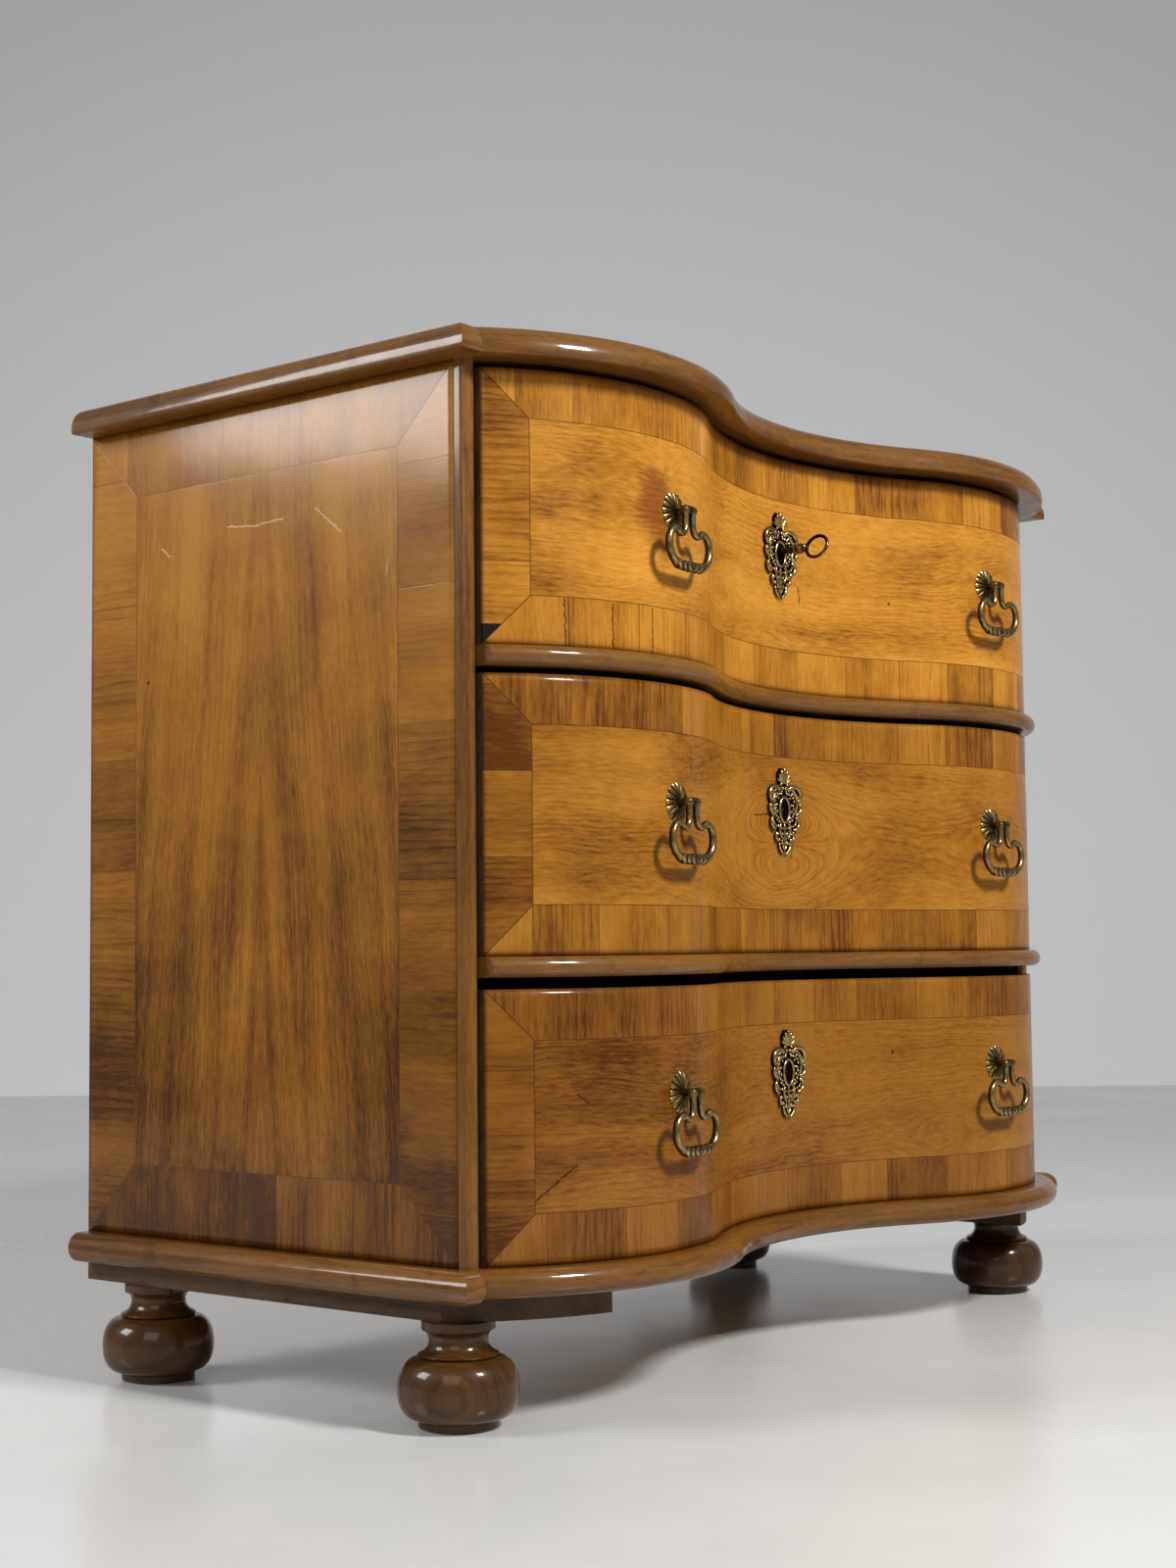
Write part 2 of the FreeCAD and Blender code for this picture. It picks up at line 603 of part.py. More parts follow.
def lock_case(drawer):
    """Hollow lock case behind the keyhole, and the staple that guides its bolt."""
    half = LOCK_WIDTH / 2
    low = drawer.key_z - LOCK_FALL
    high = drawer.key_z + LOCK_RISE
    back = FRONT_BACK_Y + LOCK_DEPTH
    case = box(-half, half, FRONT_BACK_Y, back, low, high)
    cavity = box(LOCK_WALL - half, half - LOCK_WALL, FRONT_BACK_Y + LOCK_WALL, back - LOCK_WALL,
                 low + LOCK_WALL, high - LOCK_WALL)
    mouth = keyhole(FRONT_BACK_Y - OVERRUN, FRONT_BACK_Y + LOCK_WALL + OVERRUN, drawer.key_z)
    case = case.cut([cavity, mouth, bolt_way(high - LOCK_WALL - OVERRUN, high + OVERRUN)])
    staple_half = STAPLE_WIDTH / 2
    staple_high = drawer.high - STAPLE_DROP
    staple_low = staple_high - STAPLE_HEIGHT
    staple = box(-staple_half, staple_half, FRONT_BACK_Y, back - LOCK_WALL, staple_low, staple_high)
    return [case, staple.cut(bolt_way(staple_low - OVERRUN, staple_high + OVERRUN))]


def keyhole_plate(drawer):
    """Cartouche of a broad body, a crest, four scrolls and a hanging leaf."""
    z = drawer.key_z
    y0 = TROUGH_Y - 2 * PLATE_THICK
    y1 = TROUGH_Y + OVERRUN

    def oval(half_width, half_height, rise):
        centre = Vector(0, y0, z + rise)
        across = centre + Vector(half_width, 0, 0)
        up = centre + Vector(0, 0, half_height)
        ends = (across, up) if half_width > half_height else (up, across)
        rim = Part.Ellipse(ends[0], ends[1], centre).toShape()
        return Part.Face(Part.Wire(rim)).extrude(Vector(0, y1 - y0, 0))

    lobes = [oval(PLATE_LEAF_HALF_WIDTH, PLATE_LEAF_HALF_HEIGHT, -PLATE_LEAF_FALL),
             rod_along_y(PLATE_CREST_RADIUS, y0, y1, 0, z + PLATE_CREST_RISE)]
    for x in (-PLATE_SCROLL_X, PLATE_SCROLL_X):
        for rise in (PLATE_SCROLL_RISE, -PLATE_SCROLL_FALL):
            lobes.append(rod_along_y(PLATE_SCROLL_RADIUS, y0, y1, x, z + rise))
    blank = oval(PLATE_BODY_HALF_WIDTH, PLATE_BODY_HALF_HEIGHT, 0).fuse(lobes)
    sheet = front_block(PLATE_SEAT_GAP + PLATE_THICK, CASE_DEPTH, FRONT_HALF, CASE_LOW, CASE_HIGH)
    behind = front_block(PLATE_SEAT_GAP, CASE_DEPTH, FRONT_HALF, CASE_LOW, CASE_HIGH)
    return blank.common(sheet).cut([behind, keyhole(y0, y1, z)])


def rosette():
    """Fluted round plate of a pull, in the pull's own frame with its back at y = 0."""
    bore = POST_RADIUS + SHANK_CLEARANCE
    edges = [
        line(Vector(bore, 0, 0), Vector(ROSETTE_RADIUS, 0, 0)),
        line(Vector(ROSETTE_RADIUS, 0, 0), Vector(ROSETTE_RADIUS, -ROSETTE_RIM, 0)),
        arc(Vector(ROSETTE_RADIUS, -ROSETTE_RIM, 0), Vector((ROSETTE_RADIUS + bore) / 2, -ROSETTE_RISE, 0),
            Vector(bore, -ROSETTE_RIM, 0)),
        line(Vector(bore, -ROSETTE_RIM, 0), Vector(bore, 0, 0)),
    ]
    plate = Part.Face(Part.Wire(edges)).revolve(Vector(0, 0, 0), Vector(0, 1, 0), 360)
    flutes = []
    for index in range(ROSETTE_FLUTES):
        turn = 2 * math.pi * (index + 0.5) / ROSETTE_FLUTES
        flutes.append(rod_along_y(ROSETTE_FLUTE_RADIUS, -2 * ROSETTE_RISE, OVERRUN,
                                  ROSETTE_RADIUS * math.cos(turn), ROSETTE_RADIUS * math.sin(turn)))
    return plate.cut(flutes)


def pull_post():
    """Eye post of a pull, with its shank through the drawer front."""
    neck = rod_along_y(POST_RADIUS, -POST_REACH, 0, 0, 0)
    shank = rod_along_y(SHANK_RADIUS, 0, FRONT_THICK + SHANK_TAIL, 0, 0)
    eye = rod_along_x(EYE_RADIUS, -EYE_WIDTH / 2, EYE_WIDTH / 2)
    hole = rod_along_x(PIN_RADIUS + PIN_CLEARANCE, -EYE_WIDTH, EYE_WIDTH)
    clear = POST_RADIUS + OVERRUN
    beside = box(EYE_WIDTH / 2, clear, -POST_REACH - OVERRUN, EYE_RADIUS - POST_REACH, -clear, clear)
    pivot = Vector(0, -POST_REACH, 0)
    eye.translate(pivot)
    hole.translate(pivot)
    return neck.cut([beside, mirrored(beside)]).fuse([shank, eye]).removeSplitter().cut(hole)


def pull_nut():
    """Square nut on the shank, against the inner face of the drawer front."""
    half = NUT_WIDTH / 2
    seat = FRONT_THICK + NUT_SEAT_GAP
    return box(-half, half, seat, seat + NUT_THICK, -half, half).cut(
        rod_along_y(SHANK_RADIUS + SHANK_CLEARANCE, 0, 2 * FRONT_THICK, 0, 0))


def bail_path(arm_x):
    """Half of the bail's centre line: arm, outward sweep, hump, shoulder, corner, grip."""
    rise = math.radians(BAIL_HUMP_RISE_ANGLE)
    fall = math.radians(BAIL_HUMP_FALL_ANGLE)
    hump_width = BAIL_HUMP_RADIUS * (math.sin(rise) + math.sin(fall))
    hump_height = BAIL_HUMP_RADIUS * (math.cos(fall) - math.cos(rise))
    sweep = (BAIL_SHOULDER_X - hump_width - arm_x) / (1 + math.sin(rise))
    sweep_z = -BAIL_SHOULDER_DROP - hump_height + sweep * math.cos(rise)
    side = (BAIL_HALF_WIDTH - BAIL_SHOULDER_X) / (1 - math.sin(fall))
    side_z = -BAIL_SHOULDER_DROP - side * math.cos(fall)
    corner = BAIL_DROP + side_z

    def around(x, z, radius, angle):
        return Vector(x + radius * math.sin(angle), 0, z + radius * math.cos(angle))

    sweep_x = arm_x + sweep
    sweep_end = math.pi - rise
    sweep_middle = (3 * math.pi / 2 + sweep_end) / 2
    hump_x = sweep_x + (sweep + BAIL_HUMP_RADIUS) * math.sin(rise)
    hump_z = sweep_z - (sweep + BAIL_HUMP_RADIUS) * math.cos(rise)
    side_x = BAIL_HALF_WIDTH - side
    corner_x = BAIL_HALF_WIDTH - corner
    arm_end = around(sweep_x, sweep_z, sweep, -math.pi / 2)
    hump_start = around(sweep_x, sweep_z, sweep, sweep_end)
    shoulder = around(hump_x, hump_z, BAIL_HUMP_RADIUS, fall)
    side_end = around(side_x, side_z, side, math.pi / 2)
    corner_end = Vector(corner_x, 0, -BAIL_DROP)
    edges = [
        line(Vector(arm_x, 0, 0), arm_end),
        arc(arm_end, around(sweep_x, sweep_z, sweep, sweep_middle), hump_start),
        arc(hump_start, around(hump_x, hump_z, BAIL_HUMP_RADIUS, (fall - rise) / 2), shoulder),
        arc(shoulder, around(side_x, side_z, side, (fall + math.pi / 2) / 2), side_end),
        arc(side_end, around(corner_x, side_z, corner, 3 * math.pi / 4), corner_end),
        line(corner_end, Vector(0, 0, -BAIL_DROP)),
    ]
    return Part.Wire(edges)


def bail():
    """Pear-shaped bail hung from its pin, in the pull's own frame with the pin on X."""
    arm_x = EYE_WIDTH / 2 + BAIL_SIDE_CLEARANCE + BAIL_BOSS_WIDTH / 2
    section = Part.Wire(Part.makeCircle(BAIL_WIRE_RADIUS, Vector(arm_x, 0, 0), Vector(0, 0, 1)))
    wire = bail_path(arm_x).makePipeShell([section], True, True)
    boss = rod_along_x(BAIL_BOSS_RADIUS, arm_x - BAIL_BOSS_WIDTH / 2, arm_x + BAIL_BOSS_WIDTH / 2)
    pin = rod_along_x(PIN_RADIUS, 0, arm_x)
    half = wire.fuse([boss, pin])
    grip_end = BAIL_WIRE_RADIUS / 2
    grip_edges = [
        line(Vector(-BAIL_GRIP_HALF_LENGTH, 0, 0), Vector(-BAIL_GRIP_HALF_LENGTH, 0, grip_end)),
        arc(Vector(-BAIL_GRIP_HALF_LENGTH, 0, grip_end), Vector(0, 0, BAIL_GRIP_RADIUS),
            Vector(BAIL_GRIP_HALF_LENGTH, 0, grip_end)),
        line(Vector(BAIL_GRIP_HALF_LENGTH, 0, grip_end), Vector(BAIL_GRIP_HALF_LENGTH, 0, 0)),
        line(Vector(BAIL_GRIP_HALF_LENGTH, 0, 0), Vector(-BAIL_GRIP_HALF_LENGTH, 0, 0)),
    ]
    grip = Part.Face(Part.Wire(grip_edges)).revolve(Vector(0, 0, 0), Vector(1, 0, 0), 360)
    grip.translate(Vector(0, 0, -BAIL_DROP))
    whole = half.fuse(grip).fuse(mirrored(half)).removeSplitter()
    whole.translate(Vector(0, -POST_REACH, 0))
    return whole


def key():
    """Key of the top drawer: ring bow, turned collar, shaft and bit."""
    surface = TROUGH_Y
    bow_y = surface - KEY_BOW_REACH
    collar_y = surface - KEY_COLLAR_REACH
    bit_y = FRONT_BACK_Y + LOCK_WALL + KEY_BIT_INSET
    bow = Part.makeTorus(KEY_BOW_RADIUS, KEY_BOW_WIRE_RADIUS, Vector(0, bow_y, 0), Vector(1, 0, 0))
    shaft = rod_along_y(KEY_SHAFT_RADIUS, bow_y + KEY_BOW_RADIUS, bit_y + KEY_BIT_WIDTH, 0, 0)
    pieces = [shaft, Part.makeSphere(KEY_COLLAR_RADIUS, Vector(0, collar_y, 0))]
    ring_half = KEY_RING_WIDTH / 2
    for ring_y in (collar_y - KEY_COLLAR_RADIUS, collar_y + KEY_COLLAR_RADIUS):
        pieces.append(rod_along_y(KEY_RING_RADIUS, ring_y - ring_half, ring_y + ring_half, 0, 0))
    bit_half = KEY_BIT_THICK / 2
    pieces.append(box(-bit_half, bit_half, bit_y, bit_y + KEY_BIT_WIDTH, -KEY_BIT_LENGTH, 0))
    whole = bow.fuse(pieces).removeSplitter()
    whole.rotate(Vector(0, 0, 0), Vector(0, 1, 0), KEY_LEAN_ANGLE)
    whole.translate(Vector(0, 0, TOP_DRAWER.key_z))
    return whole


def build_case():
    """Write every piece of the case."""
    left_side = side_panel()
    export("side_panel_left", [left_side])
    export("side_panel_right", [mirrored(left_side)])
    export("back_boards", back_boards())
    base = front_block(-MOULDING_LET_IN, CASE_DEPTH, CASE_HALF, BASE_LOW, CASE_LOW)
    export("bottom_board", [base.cut(spigot_holes())])
    top = front_block(-MOULDING_LET_IN, CASE_DEPTH, CASE_HALF, CASE_HIGH, TOTAL_HEIGHT)
    export("top_board", [top.cut(mortise(TOP_DRAWER))])
    edgings = (("top", thumbnail, TOP_OVERHANG, CASE_HIGH, CASE_HIGH, TOTAL_HEIGHT),
               ("base", half_round, BASE_OVERHANG, BASE_LOW, BASE_FRONT_LOW, CASE_LOW))
    for name, outline, overhang, low, front_low, high in edgings:
        left = side_moulding(outline, overhang, low, high)
        corner = corner_moulding(outline, overhang, low, high)
        export(name + "_moulding_left", [left])
        export(name + "_moulding_right", [mirrored(left)])
        export(name + "_moulding_corners", [corner, mirrored(corner)])
        front = front_moulding(outline, -MOULDING_LET_IN, overhang, front_low, high, CASE_HALF)
        export(name + "_moulding_front", [front])
    bead = corner_bead()
    export("corner_beads", [bead, mirrored(bead)])
    rails = (("upper", UPPER_RAIL_LOW, MIDDLE_DRAWER), ("lower", LOWER_RAIL_LOW, BOTTOM_DRAWER))
    for name, low, drawer_below in rails:
        export("rail_" + name, [rail(low, drawer_below)])
        export("rail_bead_" + name, [rail_bead(low)])
        export("runners_" + name, side_strips(low, low + RAIL_THICK))
    export("kickers", side_strips(KICKER_LOW, CASE_HIGH))
    bearer = foot_bearer()
    export("foot_bearers", [bearer, mirrored(bearer)])
    for name, place in foot_places().items():
        turned = foot()
        turned.translate(place)
        export(name, [turned])


def build_drawer(drawer):
    """Write every piece of one drawer, its lock and its pulls."""
    left = drawer_side(drawer)
    export(drawer.name + "_front", [drawer_front(drawer)])
    export(drawer.name + "_sides", [left, mirrored(left)])
    export(drawer.name + "_back", [drawer_back(drawer)])
    export(drawer.name + "_bottom", [drawer_bottom(drawer)])
    export(drawer.name + "_lock_case", lock_case(drawer))
    export(drawer.name + "_lock_bolt", [bolt(drawer)])
    export(drawer.name + "_keyhole_plate", [keyhole_plate(drawer)])
    plates = []
    posts = []
    for side, side_name in ((-1, "left"), (1, "right")):
        plates.append(pull_placed(rosette(), side, drawer.pull_z))
        for piece in (pull_post(), pull_nut()):
            posts.append(pull_placed(piece, side, drawer.pull_z))
        export(drawer.name + "_bail_" + side_name, [pull_placed(bail(), side, drawer.pull_z)])
    export(drawer.name + "_rosettes", plates)
    export(drawer.name + "_pull_posts", posts)


os.makedirs("parts", exist_ok=True)
build_case()
for each_drawer in DRAWERS:
    build_drawer(each_drawer)
export("key", [key()])
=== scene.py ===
import json
import logging
import math
from dataclasses import dataclass
from enum import Enum
from typing import Iterable, Iterator, Sequence, Union

import bmesh
import bpy
import numpy as np
from mathutils import Matrix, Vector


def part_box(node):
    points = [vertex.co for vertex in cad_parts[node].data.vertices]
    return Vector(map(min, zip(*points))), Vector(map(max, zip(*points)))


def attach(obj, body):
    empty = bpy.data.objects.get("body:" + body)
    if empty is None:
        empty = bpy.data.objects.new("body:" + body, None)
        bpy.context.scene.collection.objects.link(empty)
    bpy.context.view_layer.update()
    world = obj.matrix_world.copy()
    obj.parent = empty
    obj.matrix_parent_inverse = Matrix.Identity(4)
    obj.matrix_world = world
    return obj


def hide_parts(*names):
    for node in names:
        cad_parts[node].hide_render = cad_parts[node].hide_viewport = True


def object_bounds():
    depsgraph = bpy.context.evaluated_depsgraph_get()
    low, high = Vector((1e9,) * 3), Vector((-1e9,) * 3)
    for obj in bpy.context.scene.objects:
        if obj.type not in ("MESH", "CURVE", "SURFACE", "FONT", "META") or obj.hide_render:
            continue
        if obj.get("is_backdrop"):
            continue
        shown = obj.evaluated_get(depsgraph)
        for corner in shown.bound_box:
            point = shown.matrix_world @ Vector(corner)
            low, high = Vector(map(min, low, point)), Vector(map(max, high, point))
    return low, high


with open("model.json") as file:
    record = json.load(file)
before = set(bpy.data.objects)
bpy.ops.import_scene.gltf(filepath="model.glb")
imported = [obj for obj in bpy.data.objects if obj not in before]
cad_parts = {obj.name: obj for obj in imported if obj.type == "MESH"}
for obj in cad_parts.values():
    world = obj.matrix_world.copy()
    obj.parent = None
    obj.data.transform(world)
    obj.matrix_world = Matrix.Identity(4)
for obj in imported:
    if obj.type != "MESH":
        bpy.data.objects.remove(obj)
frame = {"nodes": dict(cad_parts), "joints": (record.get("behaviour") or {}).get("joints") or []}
CAD_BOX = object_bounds()

LOG = logging.getLogger("serpentine_chest")
DRAWERS = ("drawer_top", "drawer_middle", "drawer_bottom")
MM = 0.001
HAIR = 0.0002  # half of the step from one sheet of veneer to the next
CREST = 0.037  # from the middle of a keyhole to the top of its plate
Array = np.ndarray
Colour = tuple[float, float, float]
Knot = tuple[float, float, float]
Scratch = tuple[float, float, float, float]


class Side(Enum):
    """The two sides of the chest, as the sign of x."""

    LEFT = -1
    RIGHT = 1

    @property
    def word(self) -> str:
        """The side's name as the nodes have it."""
        return self.name.lower()


class Axis(Enum):
    """The way a board's grain runs."""

    ACROSS = 0
    DEPTH = 1
    UPRIGHT = 2


# Shapes


def turns(count: int) -> Array:
    """Give even angles of one full turn, in radians."""
    return np.linspace(0, 2 * np.pi, count, endpoint=False)


def xyz(x: Array, y: Array, z: Array) -> Array:
    """Put three coordinates into points, each spread to the shape that they share."""
    return np.stack(np.broadcast_arrays(x, y, z), axis=-1)


def placed(axes: Sequence[Array], place: Sequence[float]) -> Array:
    """Give the 4 by 4 matrix of a place.

    Args:
        axes: Its three axes, which become columns.
        place: Where it is.

    Returns:
        The matrix.
    """
    matrix = np.eye(4)
    matrix[:3, :3] = np.stack(axes, axis=1)
    matrix[:3, 3] = place
    return matrix


def joint(name: str) -> dict:
    """Give a joint of the frame by its name."""
    return next(entry for entry in frame["joints"] if entry["name"] == name)


@dataclass(frozen=True)
class Serpentine:
    """The line of the drawer faces: a hollow in the middle between two round bulges.

    Lengths are in metres. An offset grows from the faces to the front.
    """

    front_half: float = 0.431
    bulge_radius: float = 0.224
    end_angle: float = math.radians(42.88)
    turn_angle: float = math.radians(29.3)
    end_reach: float = 0.01188
    side_front: float = -0.166633

    @property
    def bulge_x(self) -> float:
        """x of the right bulge's centre."""
        return self.front_half - self.bulge_radius * math.sin(self.end_angle)

    @property
    def bulge_y(self) -> float:
        """y of both bulges' centres."""
        return self.side_front + self.bulge_radius * math.cos(self.end_angle) - self.end_reach

    @property
    def hollow_radius(self) -> float:
        """Radius of the hollow, which meets the bulges without a corner."""
        return self.bulge_x / math.sin(self.turn_angle) - self.bulge_radius

    @property
    def hollow_y(self) -> float:
        """y of the hollow's centre, in front of the chest."""
        return self.bulge_y - (self.bulge_radius + self.hollow_radius) * math.cos(self.turn_angle)

    def y(self, x: Array, offset: Union[Array, float]) -> Array:
        """Give y of the line at an offset: a circle round the bulge or round the hollow's centre.

        Args:
            x: Places across the chest.
            offset: Distance in front of the drawer faces.

        Returns:
            y at each place.
        """
        x, offset = np.broadcast_arrays(np.abs(x), np.asarray(offset, float))
        outer = self.bulge_radius + offset
        inner = self.hollow_radius - offset
        aside = np.clip(x - self.bulge_x, -outer, outer)
        bulge = self.bulge_y - np.sqrt(outer**2 - aside**2)
        hollow = self.hollow_y + np.sqrt(np.maximum(inner**2 - x**2, 0.0))
        return np.where(x >= self.bulge_x - outer * math.sin(self.turn_angle), bulge, hollow)

    @property
    def turn_along(self) -> float:
        """Arc length from the middle to where the hollow turns into the bulge."""
        return self.hollow_radius * self.turn_angle

    def along(self, x: Array) -> Array:
        """Give the signed arc length from the middle to each x: radius times angle of each arc.

        Args:
            x: Places across the chest.

        Returns:
            Arc lengths along the drawer faces.
        """
        size = np.abs(x)
        hollow = self.hollow_radius * np.arcsin(np.clip(size / self.hollow_radius, 0, 1))
        swing = np.arcsin(np.clip((size - self.bulge_x) / self.bulge_radius, -1, 1)) + self.turn_angle
        bulge = self.turn_along + self.bulge_radius * swing
        turn_x = self.hollow_radius * math.sin(self.turn_angle)
        return np.sign(x) * np.where(size < turn_x, hollow, bulge)

    def x_at(self, along: Array) -> Array:
        """Give x at each arc length, the inverse of along.

        Args:
            along: Signed arc lengths from the middle.

        Returns:
            Places across the chest.
        """
        size = np.abs(along)
        hollow = self.hollow_radius * np.sin(np.minimum(size, self.turn_along) / self.hollow_radius)
        swing = (size - self.turn_along) / self.bulge_radius - self.turn_angle
        bulge = self.bulge_x + self.bulge_radius * np.sin(swing)
        return np.sign(along) * np.where(size < self.turn_along, hollow, bulge)


SERPENTINE = Serpentine()


@dataclass
class Surface:
    """Points and faces of a piece before they become a mesh.

    Attributes:
        points: x, y, z of each point, in metres.
        quads: Four point numbers for each face.
        chart: u, v of each point, in metres along and across the grain.
        relief: A number for each point, 0 in a hollow and 1 on a height.
    """

    points: Array
    quads: Array
    chart: Array
    relief: Array

    @classmethod
    def grid(
        cls,
        points: Array,
        chart: Union[Array, None] = None,
        relief: Union[Array, None] = None,
        around: bool = False,
        ring: bool = False,
        keep: Union[Array, None] = None,
    ) -> "Surface":
        """Join the points of a grid into quads, row to row.

        Args:
            points: Rows by columns by x, y, z.
            chart: Rows by columns by u, v.
            relief: Rows by columns, or what spreads to that.
            around: The last column joins the first.
            ring: The last row joins the first.
            keep: True for each cell that is kept.

        Returns:
            The surface.
        """
        rows, columns = points.shape[:2]
        numbers = np.arange(rows * columns).reshape(rows, columns)
        if around:
            numbers = np.concatenate([numbers, numbers[:, :1]], axis=1)
        if ring:
            numbers = np.concatenate([numbers, numbers[:1]], axis=0)
        corners = (numbers[:-1, :-1], numbers[:-1, 1:], numbers[1:, 1:], numbers[1:, :-1])
        quads = np.stack(corners, axis=-1)
        quads = quads.reshape(-1, 4) if keep is None else quads[keep]
        chart = np.zeros((rows, columns, 2)) if chart is None else chart
        relief = np.broadcast_to(0.0 if relief is None else relief, (rows, columns))
        return cls(points.reshape(-1, 3), quads, chart.reshape(-1, 2), relief.reshape(-1))

    @classmethod
    def joined(cls, parts: Iterable["Surface"]) -> "Surface":
        """Put several surfaces into one.

        Args:
            parts: The surfaces.

        Returns:
            One surface with all their points and faces.
        """
        parts = list(parts)
        starts = np.cumsum([0] + [len(part.points) for part in parts[:-1]])
        return cls(
            np.concatenate([part.points for part in parts]),
            np.concatenate([part.quads + start for part, start in zip(parts, starts)]),
            np.concatenate([part.chart for part in parts]),
            np.concatenate([part.relief for part in parts]),
        )

    @classmethod
    def loft(cls, rings: Array, chart: Union[Array, None] = None, relief: Union[Array, None] = None) -> "Surface":
        """Carry a closed profile along a path, and close both ends to the middle of the end profile.

        Args:
            rings: Stations by profile points by x, y, z.
            chart: Stations by profile points by u, v.
            relief: Stations by profile points, or what spreads to that.

        Returns:
            A closed surface.
        """
        relief = np.broadcast_to(0.0 if relief is None else relief, rings.shape[:2])
        wall = cls.grid(rings, chart, relief, around=True)
        ends = []
        for station in (0, -1):
            rim = rings[station]
            fan = np.stack([rim, np.broadcast_to(rim.mean(axis=0), rim.shape)])
            rim_chart = None if chart is None else np.stack([chart[station]] * 2)
            ends.append(cls.grid(fan, rim_chart, relief[station], around=True))
        return cls.joined([wall, *ends])

    def moved(self, place: Array) -> "Surface":
        """Turn and move the points by a 4 by 4 matrix."""
        return Surface(self.points @ place[:3, :3].T + place[:3, 3], self.quads, self.chart, self.relief)

    def mirrored(self) -> "Surface":
        """Reflect the points in the plane x = 0."""
        return Surface(self.points * (-1.0, 1.0, 1.0), self.quads[:, ::-1], self.chart, self.relief)

    def bent(self, height: float) -> "Surface":
        """Lay a flat ornament on the drawer faces: x stays, y is the distance in front of the face.

        Args:
            height: z that the ornament's own z is counted from.

        Returns:
            The surface in place.
        """
        x, out, z = self.points.T
        return Surface(xyz(x, SERPENTINE.y(x, out), z + height), self.quads, self.chart, self.relief)

    def piece(self, name: str, closed: bool = True, crease: float = 38.0) -> bpy.types.Object:
        """Make the mesh: weld points in the same place, drop the corners that fall together.

        Args:
            name: Name of the object.
            closed: The surface has an inside, so its faces are turned outwards.
            crease: Angle in degrees past which an edge stays sharp.

        Returns:
            The object, at the origin.
        """
        _, first, number = np.unique(np.round(self.points, 7), axis=0, return_index=True, return_inverse=True)
        corners = number.reshape(-1)[self.quads]
        fresh = corners != np.roll(corners, 1, axis=1)
        fresh &= (fresh.sum(axis=1) >= 3)[:, None]
        totals = fresh.sum(axis=1)
        totals = totals[totals > 0]
        faces = np.split(corners[fresh], np.cumsum(totals)[:-1])
        mesh = bpy.data.meshes.new(name)
        mesh.from_pydata(self.points[first].tolist(), [], [face.tolist() for face in faces])
        layer = mesh.uv_layers.new(name="grain")
        layer.data.foreach_set("uv", self.chart[self.quads][fresh].astype(np.float32).ravel())
        relief = mesh.attributes.new("relief", "FLOAT", "POINT")
        relief.data.foreach_set("value", self.relief[first].astype(np.float32))
        if closed:
            shell = bmesh.new()
            shell.from_mesh(mesh)
            bmesh.ops.recalc_face_normals(shell, faces=shell.faces)
            shell.to_mesh(mesh)
            shell.free()
        mesh.shade_smooth()
        mesh.set_sharp_from_angle(angle=math.radians(crease))
        piece = bpy.data.objects.new(name, mesh)
        bpy.context.scene.collection.objects.link(piece)
        return piece


def arc(centre: tuple[float, float], radius: float, start: float, end: float, count: int) -> Array:
    """Give points of a circle's arc: centre plus radius times cosine and sine of the angle.

    Args:
        centre: The circle's centre in its plane.
        radius: Its radius.
        start: First angle in degrees.
        end: Last angle in degrees.
        count: Number of points.

    Returns:
        The points, count by 2.
    """
    angle = np.radians(np.linspace(start, end, count))
    return np.stack([centre[0] + radius * np.cos(angle), centre[1] + radius * np.sin(angle)], axis=-1)


def curve(points: Sequence[tuple[float, float]], count: int = 24) -> Array:
    """Give a cubic curve between four points: each weighs in by its Bernstein polynomial.

    Args:
        points: Start, two handles and end.
        count: Number of points on the curve.

    Returns:
        The points, count by 2.
    """
    t = np.linspace(0, 1, count)[:, None]
    a, b, c, d = (np.array(point) for point in points)
    return (1 - t) ** 3 * a + 3 * (1 - t) ** 2 * t * b + 3 * (1 - t) * t**2 * c + t**3 * d


def lathe(profile: Array, count: int, centre: tuple[float, float] = (0.0, 0.0)) -> Surface:
    """Turn a profile round an upright axis: x and y are radius times cosine and sine.

    Args:
        profile: Radius and height of each point, from the bottom to the top.
        count: Steps round the axis.
        centre: x and y of the axis.

    Returns:
        The turned surface, closed where the profile reaches the axis.
    """
    angle = turns(count)
    radius, height = profile[:, :1], profile[:, 1:]
    points = xyz(centre[0] + radius * np.cos(angle), centre[1] + radius * np.sin(angle), height)
    return Surface.grid(points, around=True)


def tube(path: Array, radius: Array, sides: int = 12) -> Surface:
    """Carry a circle along a path in the x, z plane; y is the height of the path.

    Each ring is the path's point plus radius times cosine along the path's normal and sine along y.

    Args:
        path: x, height and z of each station.
        radius: Radius at each station.
        sides: Points round the tube.

    Returns:
        A closed surface with its height as relief.
    """
    tangent = np.gradient(path[:, [0, 2]], axis=0)
    tangent /= np.maximum(np.linalg.norm(tangent, axis=1, keepdims=True), 1e-9)
    angle = turns(sides)
    aside = radius[:, None] * np.cos(angle)
    x = path[:, :1] - tangent[:, 1:] * aside
    y = path[:, 1:2] + radius[:, None] * np.sin(angle)
    z = path[:, 2:] + tangent[:, :1] * aside
    return Surface.loft(xyz(x, y, z), None, 0.5 + 0.5 * np.sin(angle))


def rounded_ends(count: int, thick: float, start: float = 0.0, end: float = 0.0) -> Array:
    """Give radii that swell from the start to thick and shrink to the end along a squared-off sine.

    Args:
        count: Number of stations.
        thick: Radius in the middle.
        start: Share of it at the start.
        end: Share of it at the end.

    Returns:
        A radius for each station.
    """
    t = np.linspace(0, 1, count)
    swell = np.sqrt(np.clip(1 - (2 * t - 1) ** 4, 0, 1))
    least = np.where(t < 0.5, start, end)
    return thick * (least + (1 - least) * swell)


